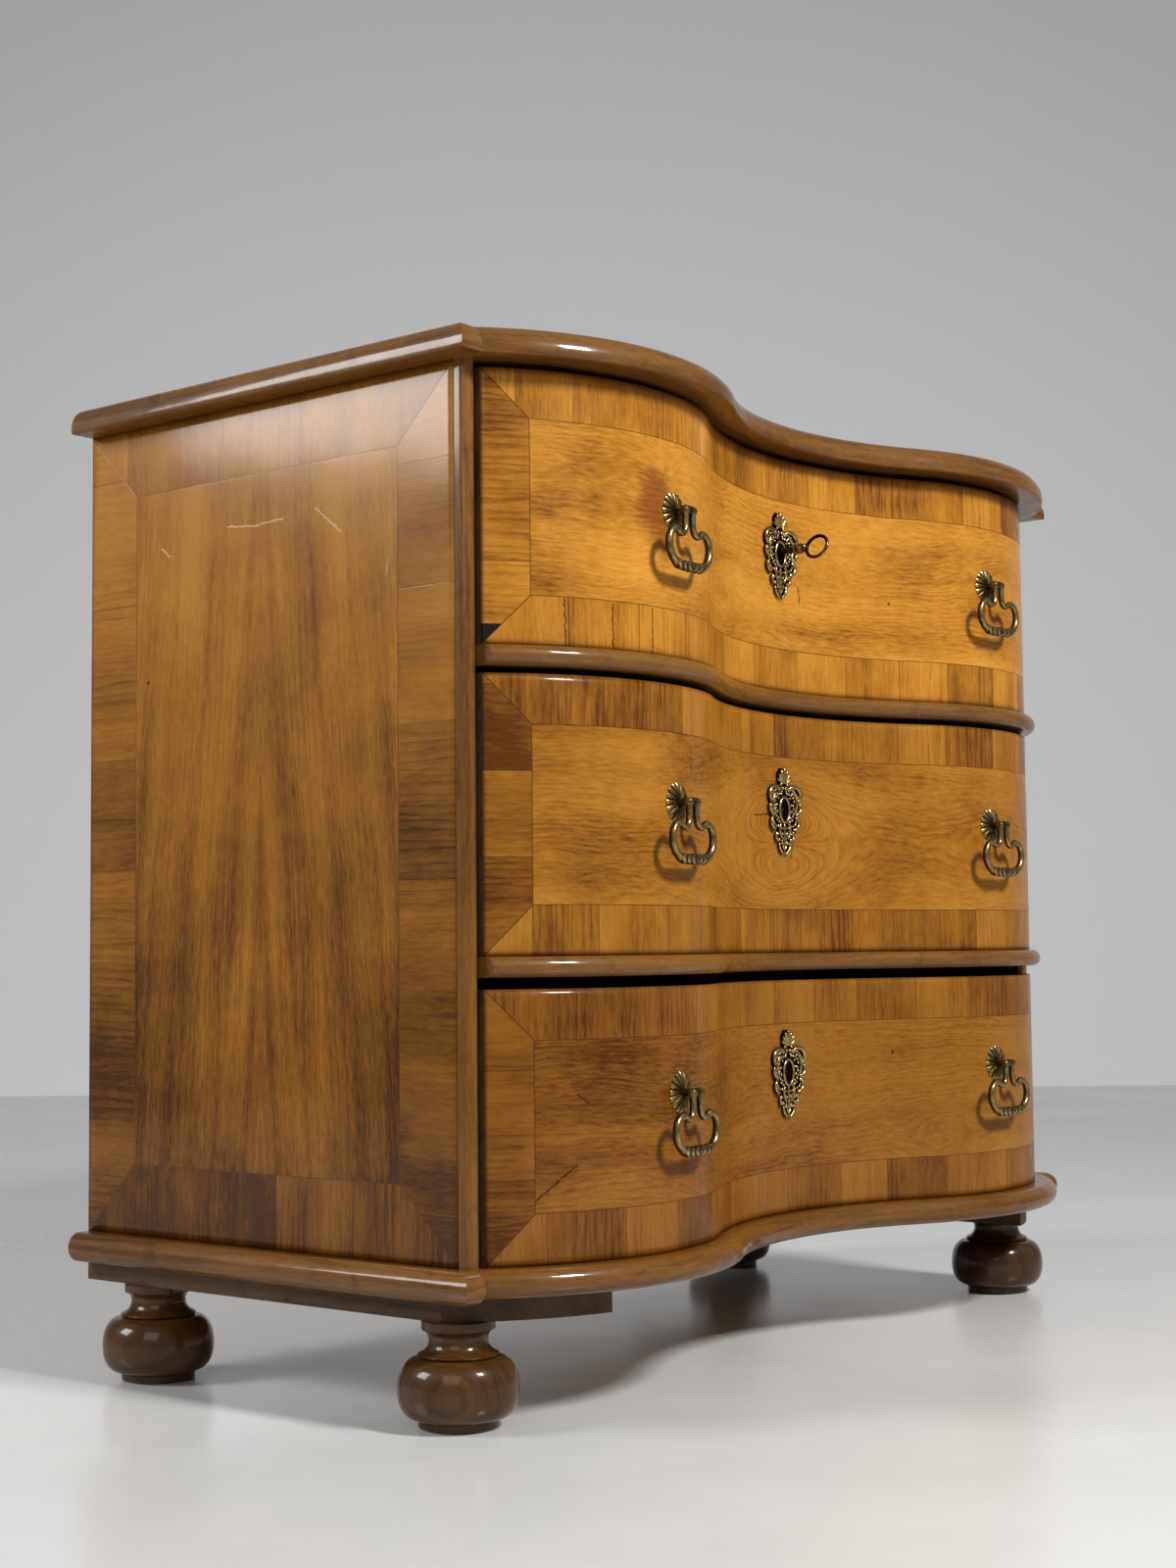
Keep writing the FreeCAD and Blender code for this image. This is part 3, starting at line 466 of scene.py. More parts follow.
def stations(stops: Sequence[float], step: float) -> Array:
    """Give places at nearly even steps that meet every stop.

    Args:
        stops: Places to meet, in order.
        step: About how far apart.

    Returns:
        The places.
    """
    runs = [
        np.linspace(start, stop, max(2, round((stop - start) / step) + 1))[:-1]
        for start, stop in zip(stops, stops[1:])
    ]
    return np.concatenate([*runs, [stops[-1]]])


# Node trees


class Value:
    """A number or colour that a material's nodes work out, with ordinary arithmetic."""

    def __init__(self, graph: "Graph", socket: bpy.types.NodeSocket) -> None:
        """Hold the socket that gives the value."""
        self.graph = graph
        self.socket = socket

    def do(self, operation: str, *others: "Number") -> "Value":
        """Pass this value and others through one Math node."""
        return self.graph.math(operation, self, *others)

    def __add__(self, other: "Number") -> "Value":
        """Add."""
        return self.do("ADD", other)

    __radd__ = __add__

    def __sub__(self, other: "Number") -> "Value":
        """Subtract."""
        return self.do("SUBTRACT", other)

    def __rsub__(self, other: "Number") -> "Value":
        """Subtract from a plain number."""
        return self.graph.math("SUBTRACT", other, self)

    def __mul__(self, other: "Number") -> "Value":
        """Multiply."""
        return self.do("MULTIPLY", other)

    __rmul__ = __mul__

    def __truediv__(self, other: "Number") -> "Value":
        """Divide."""
        return self.do("DIVIDE", other)

    def __abs__(self) -> "Value":
        """Drop the sign."""
        return self.do("ABSOLUTE")

    def least(self, other: "Number") -> "Value":
        """Take the smaller."""
        return self.do("MINIMUM", other)

    def most(self, other: "Number") -> "Value":
        """Take the larger."""
        return self.do("MAXIMUM", other)

    def over(self, limit: float) -> "Value":
        """Give 1 above the limit and 0 below."""
        return self.do("GREATER_THAN", limit)

    def step(self, low: float, high: float, start: float = 0.0, end: float = 1.0) -> "Value":
        """Go smoothly from start at low to end at high.

        Args:
            low: Value at which the start is left.
            high: Value at which the end is reached.
            start: Result below low.
            end: Result above high.

        Returns:
            The stepped value.
        """
        node = self.graph.node("MapRange", interpolation_type="SMOOTHSTEP")
        for name, number in (("From Min", low), ("From Max", high), ("To Min", start), ("To Max", end)):
            node.inputs[name].default_value = number
        self.graph.feed(node.inputs["Value"], self)
        return Value(self.graph, node.outputs["Result"])

    def toward(self, other: "Number", share: "Value") -> "Value":
        """Go from this value to the other by a share."""
        return self + (other - self) * share


Number = Union[Value, float]


class Graph:
    """The nodes of a new material, with short calls for the ones the finishes use."""

    def __init__(self, name: str) -> None:
        """Start a material with its shader.

        Args:
            name: Name of the material.
        """
        self.material = bpy.data.materials.new(name)
        self.material.use_nodes = True
        self.nodes = self.material.node_tree.nodes
        self.links = self.material.node_tree.links
        self.shader = self.nodes["Principled BSDF"]

    def node(self, kind: str, **settings: object) -> bpy.types.Node:
        """Add a node and set its options.

        Args:
            kind: Its kind.
            settings: Its options.

        Returns:
            The node.
        """
        node = self.nodes.new("ShaderNode" + kind)
        for name, value in settings.items():
            setattr(node, name, value)
        return node

    def feed(self, socket: bpy.types.NodeSocket, value: Union[Number, Colour]) -> None:
        """Link a value to a socket, or set a plain one.

        Args:
            socket: The input.
            value: A value, a number or a colour.
        """
        if isinstance(value, Value):
            self.links.new(value.socket, socket)
        elif isinstance(value, tuple):
            socket.default_value = (*value, 1.0)
        else:
            socket.default_value = value

    def math(self, operation: str, *terms: Number) -> Value:
        """Add a Math node.

        Args:
            operation: What it does.
            terms: Its inputs.

        Returns:
            The result.
        """
        node = self.node("Math", operation=operation)
        for socket, term in zip(node.inputs, terms):
            self.feed(socket, term)
        return Value(self, node.outputs[0])

    def split(self, socket: bpy.types.NodeSocket) -> tuple[Value, Value, Value]:
        """Split a vector.

        Args:
            socket: Gives the vector.

        Returns:
            Its x, y and z.
        """
        node = self.node("SeparateXYZ")
        self.links.new(socket, node.inputs[0])
        return tuple(Value(self, output) for output in node.outputs)

    def places(self) -> tuple[Value, Value, Value]:
        """Give x, y and z in the chest's own frame."""
        return self.split(self.node("TexCoord").outputs["Object"])

    def chart(self) -> tuple[Value, Value]:
        """Give the piece's own u and v."""
        return self.split(self.node("UVMap", uv_map="grain").outputs["UV"])[:2]

    def attribute(self, name: str) -> Value:
        """Give a number stored on the piece's points."""
        return Value(self, self.node("Attribute", attribute_name=name).outputs["Fac"])

    def vector(self, x: Number, y: Number, z: Number) -> Value:
        """Put three numbers into a vector.

        Args:
            x: First number.
            y: Second number.
            z: Third number.

        Returns:
            The vector.
        """
        node = self.node("CombineXYZ")
        for socket, term in zip(node.inputs, (x, y, z)):
            self.feed(socket, term)
        return Value(self, node.outputs[0])

    def noise(self, x: Number, y: Number, z: Number = 0.0, detail: float = 2.0, rough: float = 0.5) -> Value:
        """Give cloudy noise, about 0.5 on average.

        Args:
            x: First coordinate, one blot to a unit.
            y: Second coordinate.
            z: Third coordinate.
            detail: Number of finer layers.
            rough: Strength of the finer layers.

        Returns:
            The noise.
        """
        node = self.node("TexNoise")
        self.feed(node.inputs["Vector"], self.vector(x, y, z))
        for name, number in (("Scale", 1.0), ("Detail", detail), ("Roughness", rough)):
            node.inputs[name].default_value = number
        return Value(self, node.outputs[0])

    def cloud(self, scale: float, detail: float, rough: float = 0.5) -> Value:
        """Give noise in the chest's own frame, scale blots to the metre."""
        return self.noise(*(place * scale for place in self.places()), detail, rough)

    def blocks(self, place: Value) -> tuple[Value, Value]:
        """Cut a line into blocks of uneven length.

        Args:
            place: Where on the line, one block to a unit.

        Returns:
            A chance number for each block, and the distance to its nearer end.
        """
        tone = self.node("TexVoronoi", voronoi_dimensions="1D", feature="F1")
        ends = self.node("TexVoronoi", voronoi_dimensions="1D", feature="DISTANCE_TO_EDGE")
        for node in (tone, ends):
            self.feed(node.inputs["W"], place)
            node.inputs["Scale"].default_value = 1.0
            node.inputs["Randomness"].default_value = 0.85
        chance = self.node("SeparateColor")
        self.links.new(tone.outputs["Color"], chance.inputs[0])
        return Value(self, chance.outputs[0]), Value(self, ends.outputs["Distance"])

    def spots(self, x: Value, y: Value, seed: float) -> tuple[Value, Value]:
        """Scatter points, one to a unit square.

        Args:
            x: First coordinate.
            y: Second coordinate.
            seed: Chooses the scatter.

        Returns:
            The distance to the nearest point, and its chance number.
        """
        node = self.node("TexVoronoi", voronoi_dimensions="3D", feature="F1")
        self.feed(node.inputs["Vector"], self.vector(x, y, seed))
        node.inputs["Scale"].default_value = 1.0
        chance = self.node("SeparateColor")
        self.links.new(node.outputs["Color"], chance.inputs[0])
        return Value(self, node.outputs["Distance"]), Value(self, chance.outputs[0])

    def ramp(self, value: Value, stops: Sequence[tuple[float, Colour]]) -> Value:
        """Turn a number into a colour.

        Args:
            value: The number.
            stops: Numbers, and the colour at each.

        Returns:
            The colour.
        """
        node = self.node("ValToRGB")
        elements = node.color_ramp.elements
        while len(elements) < len(stops):
            elements.new(1.0)
        for element, (place, colour) in zip(elements, stops):
            element.position = place
            element.color = (*colour, 1.0)
        self.links.new(value.socket, node.inputs[0])
        return Value(self, node.outputs[0])

    def tint(self, first: Union[Value, Colour], second: Union[Value, Colour], share: Number) -> Value:
        """Mix two colours.

        Args:
            first: Colour at share 0.
            second: Colour at share 1.
            share: How much of the second.

        Returns:
            The mixed colour.
        """
        node = self.node("Mix", data_type="RGBA")
        self.feed(node.inputs[0], share)
        self.feed(node.inputs[6], first)
        self.feed(node.inputs[7], second)
        return Value(self, node.outputs[2])

    def raise_by(self, height: Value, depth: float) -> None:
        """Make the light on the surface follow a relief.

        Args:
            height: 0 in a hollow and 1 on a height.
            depth: Metres from the one to the other.
        """
        node = self.node("Bump")
        node.inputs["Strength"].default_value = 1.0
        node.inputs["Distance"].default_value = depth
        self.feed(node.inputs["Height"], height)
        for name in ("Normal", "Coat Normal"):
            self.links.new(node.outputs[0], self.shader.inputs[name])

    def done(self, colour: Value, roughness: Value, **fixed: float) -> bpy.types.Material:
        """Link the colour and roughness, and set the shader's constant values.

        Args:
            colour: Base colour.
            roughness: Roughness.
            fixed: Other inputs, with _ for a blank.

        Returns:
            The material.
        """
        self.feed(self.shader.inputs["Base Color"], colour)
        self.feed(self.shader.inputs["Roughness"], roughness)
        for name, value in fixed.items():
            self.shader.inputs[name.replace("_", " ")].default_value = value
        return self.material


# Finishes


@dataclass(frozen=True)
class Timber:
    """Colours of a timber from its dark streaks to its pale wood."""

    streak: Colour
    brown: Colour
    gold: Colour
    pale: Colour

    def deeper(self, share: float) -> "Timber":
        """Give the same timber with only a share of its brightness, and redder with depth: painted shade for parts
        that less light reaches.
        """
        tint = np.array((share, share**1.12, share**1.3))
        return Timber(*(tuple(tint * colour) for colour in (self.streak, self.brown, self.gold, self.pale)))

    def colour(self, graph: Graph, tone: Value) -> Value:
        """Turn a figure's tone into the timber's colours."""
        stops = ((0.22, self.streak), (0.42, self.brown), (0.58, self.gold), (0.78, self.pale))
        return graph.ramp(tone, stops)


FRONT_WALNUT = Timber((0.13, 0.04, 0.004), (0.36, 0.138, 0.012), (0.5, 0.212, 0.024), (0.6, 0.285, 0.046))
SIDE_WALNUT = Timber((0.06, 0.02, 0.002), (0.2, 0.073, 0.004), (0.31, 0.12, 0.007), (0.42, 0.185, 0.018))
MOULDING_WALNUT = Timber((0.035, 0.012, 0.002), (0.11, 0.043, 0.006), (0.19, 0.079, 0.011), (0.27, 0.123, 0.022))
FOOT_WALNUT = Timber((0.01, 0.004, 0.001), (0.04, 0.016, 0.003), (0.078, 0.032, 0.007), (0.118, 0.052, 0.013))
PINE = Timber((0.12, 0.06, 0.024), (0.25, 0.145, 0.066), (0.34, 0.21, 0.105), (0.42, 0.28, 0.15))
# Dark aged pine, also painted shade where it shows only in the gaps between the drawers and the rails.
AGED_PINE_AND_PAINTED_SHADE = Timber((0.02, 0.011, 0.006), (0.055, 0.031, 0.016), (0.085, 0.05, 0.027), (0.13, 0.08, 0.045))


@dataclass(frozen=True)
class Grain:
    """How a timber is figured: streaks and fibres drawn out along it, and growth lines bent by slow and quick waves.

    A growth line darkens slowly across its year and ends sharply, as the fraction of a counted distance does.
    """

    wave: float = 0.02
    lines: float = 0.1
    broad: float = 0.46
    fine: float = 0.36
    years: float = 135.0
    streaks: float = 30.0

    def tone(self, graph: Graph, along: Number, across: Number, seed: Number) -> Value:
        """Work out the figure.

        Args:
            graph: The material's nodes.
            along: Metres along the grain.
            across: Metres across it.
            seed: Chooses the piece of wood.

        Returns:
            The tone, about 0.5 on average.
        """
        slow = graph.noise(along * 4.0, across * 9.0, seed, 2.0) - 0.5
        quick = graph.noise(along * 19.0, across * 26.0, seed, 1.0) - 0.5
        line = across + slow * self.wave + quick * (self.wave * 0.28)
        broad = graph.noise(along * 2.2, line * self.streaks, seed, 3.5, 0.55)
        fine = graph.noise(along * 70.0, line * 420.0, seed, 4.0, 0.65)
        year = (line * self.years + broad * 7.0).do("FRACT")
        shown = graph.noise(along * 7.0, across * 16.0, seed, 2.0).step(0.38, 0.62)
        late = year.step(0.35, 0.92) * year.step(0.92, 1.0, 1.0, 0.0) * shown
        return 0.5 + (broad - 0.5) * self.broad + (fine - 0.5) * self.fine - (late - 0.13) * self.lines


BARE_GROUND: Colour = (0.012, 0.006, 0.003)
OPEN_CRACK: Colour = (0.014, 0.006, 0.002)
PALE_SCRATCH: Colour = (0.55, 0.36, 0.17)
RED_STAIN: Colour = (0.16, 0.036, 0.006)


@dataclass
class Spot:
    """A point of banded veneer, as the nodes of its material know it.

    Attributes:
        graph: The material's nodes.
        u: Metres along the face.
        v: Metres up the face.
        edges: Metres to the left, right, lower and upper edge.
        band: Width of the border.
    """

    graph: Graph
    u: Value
    v: Value
    edges: tuple[Value, Value, Value, Value]
    band: float

    def __post_init__(self) -> None:
        """Work out the nearest edges, and with 0 or 1 the part of the face."""
        left, right, self.lower, upper = self.edges
        self.ends, self.sills = left.least(right), self.lower.least(upper)
        self.edge = self.ends.least(self.sills)
        self.above = (self.lower - upper) * 0.5
        self.in_field = (self.edge - self.band).step(-HAIR, HAIR)
        self.in_end = (self.sills - self.ends).step(-HAIR, HAIR)
        self.on_right = (left - right).step(-MM, MM)
        self.on_top = (self.lower - upper).step(-MM, MM)
        self.in_left = self.in_end * (1.0 - self.on_right)

    def noise(self, along: float, up: float, seed: float, detail: float = 2.0, rough: float = 0.5) -> Value:
        """Give cloudy noise on the face, with this many blots to the metre each way."""
        return self.graph.noise(self.u * along, self.v * up, seed, detail, rough)


@dataclass(frozen=True)
class BandedVeneer:
    """Polished veneer with a mitred border of short crossbanded blocks round a figured field."""

    timber: Timber
    seed: float
    band: float = 0.039
    block: float = 0.068
    field_grain: Axis = Axis.ACROSS
    knots: Sequence[Knot] = ()
    patches: Sequence[Knot] = ()
    chip: float = 0.0
    cracks: Sequence[Scratch] = ()
    scratches: Sequence[Scratch] = ()
    field: Grain = Grain(0.03, 0.09, 0.5, 0.6, 200.0)
    border: Grain = Grain(0.005)
    splay: float = 0.0
    band_tone: float = -0.07
    # painted shade on the border's left end band, darker by this much
    left_tone: float = 0.0
    # painted light: the field gets lighter toward the right end by this much
    run: float = 0.06
    # painted light: lighter toward the top by this much
    rise: float = 0.0
    joint: float = 0.0006
    joint_colour: Colour = (0.05, 0.018, 0.003)
    coat: float = 0.3
    coat_roughness: float = 0.11
    specular: float = 0.06
    relief: float = 0.0003

    def grain_line(self, at: Spot) -> Value:
        """Bend the level grain round each knot, as water flows round a post.

        Args:
            at: Where on the face.

        Returns:
            Metres across the grain.
        """
        line = at.v
        for knot_u, knot_v, radius in self.knots:
            aside = at.u - knot_u
            above = at.v - knot_v
            reach = aside * aside * 0.3 + above * above + radius * radius * 0.35
            line = line - above * (radius * radius) / reach
        return line

    def marks(self, at: Spot, lines: Sequence[Scratch]) -> Value:
        """Draw thin marks, a little ragged.

        Args:
            at: Where on the face.
            lines: The two ends of each mark.

        Returns:
            1 in a mark and 0 elsewhere.
        """
        ragged = (at.noise(260.0, 260.0, self.seed) - 0.5) * 0.004
        found: Number = 0.0
        for start_u, start_v, end_u, end_v in lines:
            run_u, run_v = end_u - start_u, end_v - start_v
            length = math.hypot(run_u, run_v)
            from_u, from_v = at.u - start_u, at.v - start_v
            aside = (from_u * run_v - from_v * run_u) / length
            onward = (from_u * run_u + from_v * run_v) / length
            beyond = (onward * -1.0).most(onward - length).most(0.0)
            found = (abs(aside + ragged) + beyond).step(0.0003, MM, 1.0, 0.0).most(found)
        return found

    def border_figure(self, at: Spot, stain: Value) -> tuple[Value, Value]:
        """Draw the border's blocks, each with its own tone and its grain across the border.

        Args:
            at: Where on the face.
            stain: Clouds over the blocks.

        Returns:
            The tone, and the dark of the cuts between the blocks and of splits along their grain.
        """
        graph, u, v, seed = at.graph, at.u, at.v, self.seed
        sill_chance, sill_gap = graph.blocks((u + at.on_top * 3.17 + seed) / self.block)
        end_chance, end_gap = graph.blocks((v + at.on_right * 2.31 + seed * 1.7) / self.block)
        chance = sill_chance.toward(end_chance, at.in_end)
        gap = sill_gap.toward(end_gap, at.in_end) * self.block
        sill_figure = self.border.tone(graph, v, u, sill_chance * 37.0 + seed)
        end_figure = self.border.tone(graph, u, v, end_chance * 37.0 + seed)
        tone = sill_figure.toward(end_figure, at.in_end) + (chance - 0.5) * 0.2 + stain * 0.3 + self.band_tone
        split = at.noise(330.0, 9.0, seed + 5.0).toward(at.noise(9.0, 330.0, seed + 6.0), at.in_end)
        cut = gap.step(self.joint * 0.4, self.joint * 1.1, 1.0, 0.0) * chance.step(0.3, 0.75, 0.35, 1.0)
        # the left end band gets its painted shade here
        return tone + at.in_left * self.left_tone, cut.most(split.step(0.68, 0.76, 0.0, 0.8))

    def field_figure(self, at: Spot) -> Value:
        """Draw the field: two matching leaves if its grain is upright, and else one that flows round the knots; run
        adds painted light that makes it lighter toward the right end.

        Args:
            at: Where on the face.

        Returns:
            The tone.
        """
        along, across = at.u, self.grain_line(at)
        if self.field_grain is Axis.UPRIGHT:
            along, across = at.v, abs(at.u) + at.v * self.splay
        return self.field.tone(at.graph, along, across, self.seed + 11.0) + at.u * self.run

    def joint_lines(self, at: Spot, cuts: Value) -> Value:
        """Draw the dark lines of the mitres, the cuts, the border's inner edge and the seam of two leaves.

        Args:
            at: Where on the face.
            cuts: The dark of the border's cuts.

        Returns:
            1 in a dark line and 0 elsewhere.
        """
        seam: Number = 0.0
        if self.field_grain is Axis.UPRIGHT:
            seam = abs(at.u).step(self.joint * 0.3, self.joint * 0.8, 0.6, 0.0)
        mitre = abs(at.ends - at.sills).step(self.joint * 0.6, self.joint * 1.5, 1.0, 0.0)
        border = abs(at.edge - self.band).step(self.joint * 0.4, self.joint, 0.9, 0.0)
        return mitre.most(cuts).toward(seam, at.in_field).most(border)

    def holes(self, at: Spot, stain: Value) -> Value:
        """Scatter worm holes, and break the chip off the lower left corner.

        Args:
            at: Where on the face.
            stain: Clouds that make the chip's edge ragged.

        Returns:
            1 in a hole and 0 elsewhere.
        """
        far, pick = at.graph.spots(at.u * 20.0, at.v * 20.0, self.seed)
        holes = far.step(0.016, 0.042, 1.0, 0.0) * pick.over(0.66)
        if not self.chip:
            return holes
        return holes.most((at.lower + stain * 0.004).step(self.chip - HAIR, self.chip, 1.0, 0.0) * at.in_left)

    def stained(self, at: Spot, colour: Value, ragged: Value) -> Value:
        """Lay the red patches over a colour: ovals that fade out with a ragged edge.

        Args:
            at: Where on the face.
            colour: The colour below.
            ragged: What the edge is ragged by.

        Returns:
            The colour with the patches.
        """
        for patch_u, patch_v, radius in self.patches:
            aside = (at.u - patch_u) / radius
            above = (at.v - patch_v) / radius
            shape = aside * aside * 2.0 + above * above * 0.5 + ragged
            colour = at.graph.tint(colour, RED_STAIN, shape.step(0.0, 1.3, 0.75, 0.0))
        return colour

    def material(
        self, graph: Graph, u: Value, v: Value, edges: tuple[Value, Value, Value, Value]
    ) -> bpy.types.Material:
        """Build the finish.

        Args:
            graph: The material's nodes.
            u: Metres along the face.
            v: Metres up the face.
            edges: Metres to the left, right, lower and upper edge.

        Returns:
            The material.
        """
        at = Spot(graph, u, v, edges, self.band)
        stain = at.noise(17.0, 17.0, self.seed + 2.0, 3.0) - 0.5
        cloud = at.noise(9.0, 10.0, self.seed + 3.0, 4.0, 0.55) - 0.5
        border, cuts = self.border_figure(at, stain)
        # at.above * rise is painted light, lighter toward the top
        tone = border.toward(self.field_figure(at) + cloud * 0.5, at.in_field) + at.above * self.rise
        joints = self.joint_lines(at, cuts)
        worn = at.edge.step(0.0004, 0.003, 1.0, 0.0)
        pores = at.noise(900.0, 900.0, self.seed, 1.0).step(0.62, 0.74)
        holes = self.holes(at, stain)

        colour = self.timber.colour(graph, tone)
        colour = self.stained(at, colour, cloud * 2.4 + (tone - 0.5) * 2.0)
        colour = graph.tint(colour, self.joint_colour, joints * 0.8)
        for dark in (worn * 0.35, pores * 0.25):
            colour = graph.tint(colour, self.timber.streak, dark)
        colour = graph.tint(colour, BARE_GROUND, holes)
        relief = 0.5 + (tone - 0.5) * 0.12 - joints * 0.08 - holes * 0.4 - pores * 0.06
        marks = ((self.cracks, OPEN_CRACK, 0.85, 0.3), (self.scratches, PALE_SCRATCH, 0.6, 0.2))
        for lines, mark_colour, share, depth in marks:
            if lines:
                mark = self.marks(at, lines)
                colour = graph.tint(colour, mark_colour, mark * share)
                relief = relief - mark * depth
        haze = at.noise(22.0, 22.0, self.seed + 8.0, 4.0, 0.6)
        graph.raise_by(relief, self.relief)
        return graph.done(
            colour,
            haze.step(0.3, 0.75, 0.3, 0.48),
            Specular_IOR_Level=self.specular,
            Coat_Weight=self.coat,
            Coat_Roughness=self.coat_roughness,
        )


@dataclass(frozen=True)
class SolidWood:
    """A plain board, moulding or turned piece with its grain along one line."""

    timber: Timber
    roughness: float = 0.36
    coat: float = 0.4
    seed: float = 0.0
    dents: float = 0.5
    coat_roughness: float = 0.09
    specular: float = 0.1
    relief: float = 0.0004
    grime: Colour = (0.01, 0.006, 0.004)

    def build(self, graph: Graph, along: Value, across: Value, depth: Number) -> bpy.types.Material:
        """Build the finish.

        Args:
            graph: The material's nodes.
            along: Metres along the grain.
            across: Metres across it.
            depth: Metres into the board, or a number that tells boards apart.

        Returns:
            The material.
        """
        tone = Grain().tone(graph, along, across + depth * 0.6, depth * 5.0 + self.seed)
        cloud = graph.noise(along * 6.0, across * 20.0, depth * 20.0 + self.seed, 3.0) - 0.5
        tone = tone + cloud * 0.35
        dirt = graph.noise(along * 40.0, across * 40.0, depth * 40.0 + self.seed, 5.0, 0.65)
        far, pick = graph.spots(along * 14.0, across * 14.0, self.seed)
        holes = far.step(0.018, 0.034, 1.0, 0.0) * pick.over(0.55) * self.dents
        colour = self.timber.colour(graph, tone)
        colour = graph.tint(colour, self.timber.streak, dirt.step(0.55, 0.8, 0.0, 0.7))
        colour = graph.tint(colour, self.grime, holes)
        roughness = dirt.step(0.3, 0.7, self.roughness - 0.07, self.roughness + 0.14)
        graph.raise_by(0.5 + (tone - 0.5) * 0.2 + (dirt - 0.5) * 0.25 - holes * 0.5, self.relief)
        return graph.done(
            colour,
            roughness,
            Specular_IOR_Level=self.specular,
            Coat_Weight=self.coat,
            Coat_Roughness=self.coat_roughness,
        )

    def along_chart(self, name: str) -> bpy.types.Material:
        """Build the finish with its grain along the piece's own u.

        Args:
            name: Name of the material.

        Returns:
            The material.
        """
        graph = Graph(name)
        u, v = graph.chart()
        return self.build(graph, u, v, self.seed * 0.01)

    def along_axis(self, name: str, axis: Axis) -> bpy.types.Material:
        """Build the finish with its grain along an axis of the chest.

        Args:
            name: Name of the material.
            axis: The grain's axis.

        Returns:
            The material.
        """
        graph = Graph(name)
        places = graph.places()
        along = places[axis.value]
        across, depth = (place for number, place in enumerate(places) if number != axis.value)
        return self.build(graph, along, across, depth)


@dataclass(frozen=True)
class Brass:
    """Old cast brass: dark in the hollows and rubbed bright on the heights."""

    hollow: Colour = (0.011, 0.007, 0.003)
    skin: Colour = (0.09, 0.056, 0.017)
    rubbed: Colour = (0.52, 0.38, 0.15)

    def material(self, name: str, carved: bool) -> bpy.types.Material:
        """Build the finish.

        Args:
            name: Name of the material.
            carved: The piece has a relief of its own.

        Returns:
            The material.
        """
        graph = Graph(name)
        grime = graph.cloud(260.0, 4.0, 0.6)
        height = graph.attribute("relief") if carved else grime * 0.6 + 0.25
        tone = height * 0.85 + (grime - 0.5) * 0.5
        colour = graph.ramp(tone, ((0.12, self.hollow), (0.5, self.skin), (0.86, self.rubbed)))
        pits = graph.cloud(700.0, 2.0)
        graph.raise_by(pits * 0.5 + grime * 0.5, 0.00025)
        return graph.done(colour, tone.step(0.15, 0.85, 0.5, 0.2), Metallic=1.0)


KEY_BRONZE = Brass((0.008, 0.005, 0.003), (0.045, 0.028, 0.012), (0.24, 0.16, 0.07))


@dataclass(frozen=True)
class Iron:
    """Forged iron with brown rust in clouds."""

    bare: Colour = (0.075, 0.07, 0.066)
    rust: Colour = (0.085, 0.035, 0.014)
    soot: Colour = (0.02, 0.016, 0.013)

    def material(self, name: str) -> bpy.types.Material:
        """Build the finish.

        Args:
            name: Name of the material.

        Returns:
            The material.
        """
        graph = Graph(name)
        cloud = graph.cloud(60.0, 5.0, 0.65)
        grain = graph.cloud(700.0, 2.0)
        rusty = cloud.step(0.45, 0.68)
        colour = graph.tint(self.bare, self.rust, rusty)
        colour = graph.tint(colour, self.soot, grain.step(0.5, 0.8, 0.0, 0.6))
        graph.raise_by(cloud * 0.4 + grain * 0.6, 0.0004)
        return graph.done(colour, rusty.step(0.0, 1.0, 0.42, 0.75), Metallic=0.75)


# The chest


def settle(piece: bpy.types.Object, body: str, slot: str, material: bpy.types.Material, *nodes: str) -> None:
    """Give a piece its finish and its body, and hide the solids that it stands for.

    Args:
        piece: The new piece.
        body: Body that it moves with.
        slot: Slot of the record that its finish belongs to; not used.
        material: The finish.
        nodes: Solids that it replaces.
    """
    piece.data.materials.append(material)
    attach(piece, body)
    if nodes:
        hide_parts(*nodes)
    LOG.info("%s: %d faces on %s", piece.name, len(piece.data.polygons), body)


def solidify(piece: bpy.types.Object, thickness: float) -> None:
    """Give a sheet its thickness, towards its back.

    Args:
        piece: The sheet.
        thickness: Metres.
    """
    wall = piece.modifiers.new("thickness", "SOLIDIFY")
    wall.thickness = thickness
    wall.offset = -1.0


def keyhole_height(drawer: str) -> float:
    """Give z of a drawer's keyhole, which lies below the crest of its plate."""
    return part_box(f"{drawer}_keyhole_plate")[1].z - CREST


def ripple(u: Array, v: Union[Array, float], seed: float, height: float = 0.00004) -> Array:
    """Give the slight unevenness of old veneer: two crossing sine waves.

    Args:
        u: Metres along the face.
        v: Metres up the face.
        seed: Shifts the waves.
        height: Height of the first wave.

    Returns:
        Metres to the front.
    """
    first = np.sin(2 * np.pi * (u / 0.19 + v / 0.31) + seed)
    second = np.sin(2 * np.pi * (u / 0.083 - v / 0.12) + 2.3 * seed)
    return height * (first + 0.6 * second)


class Profile(Enum):
    """Sections of the mouldings."""

    THUMBNAIL = "thumbnail"
    HALF_ROUND = "half_round"


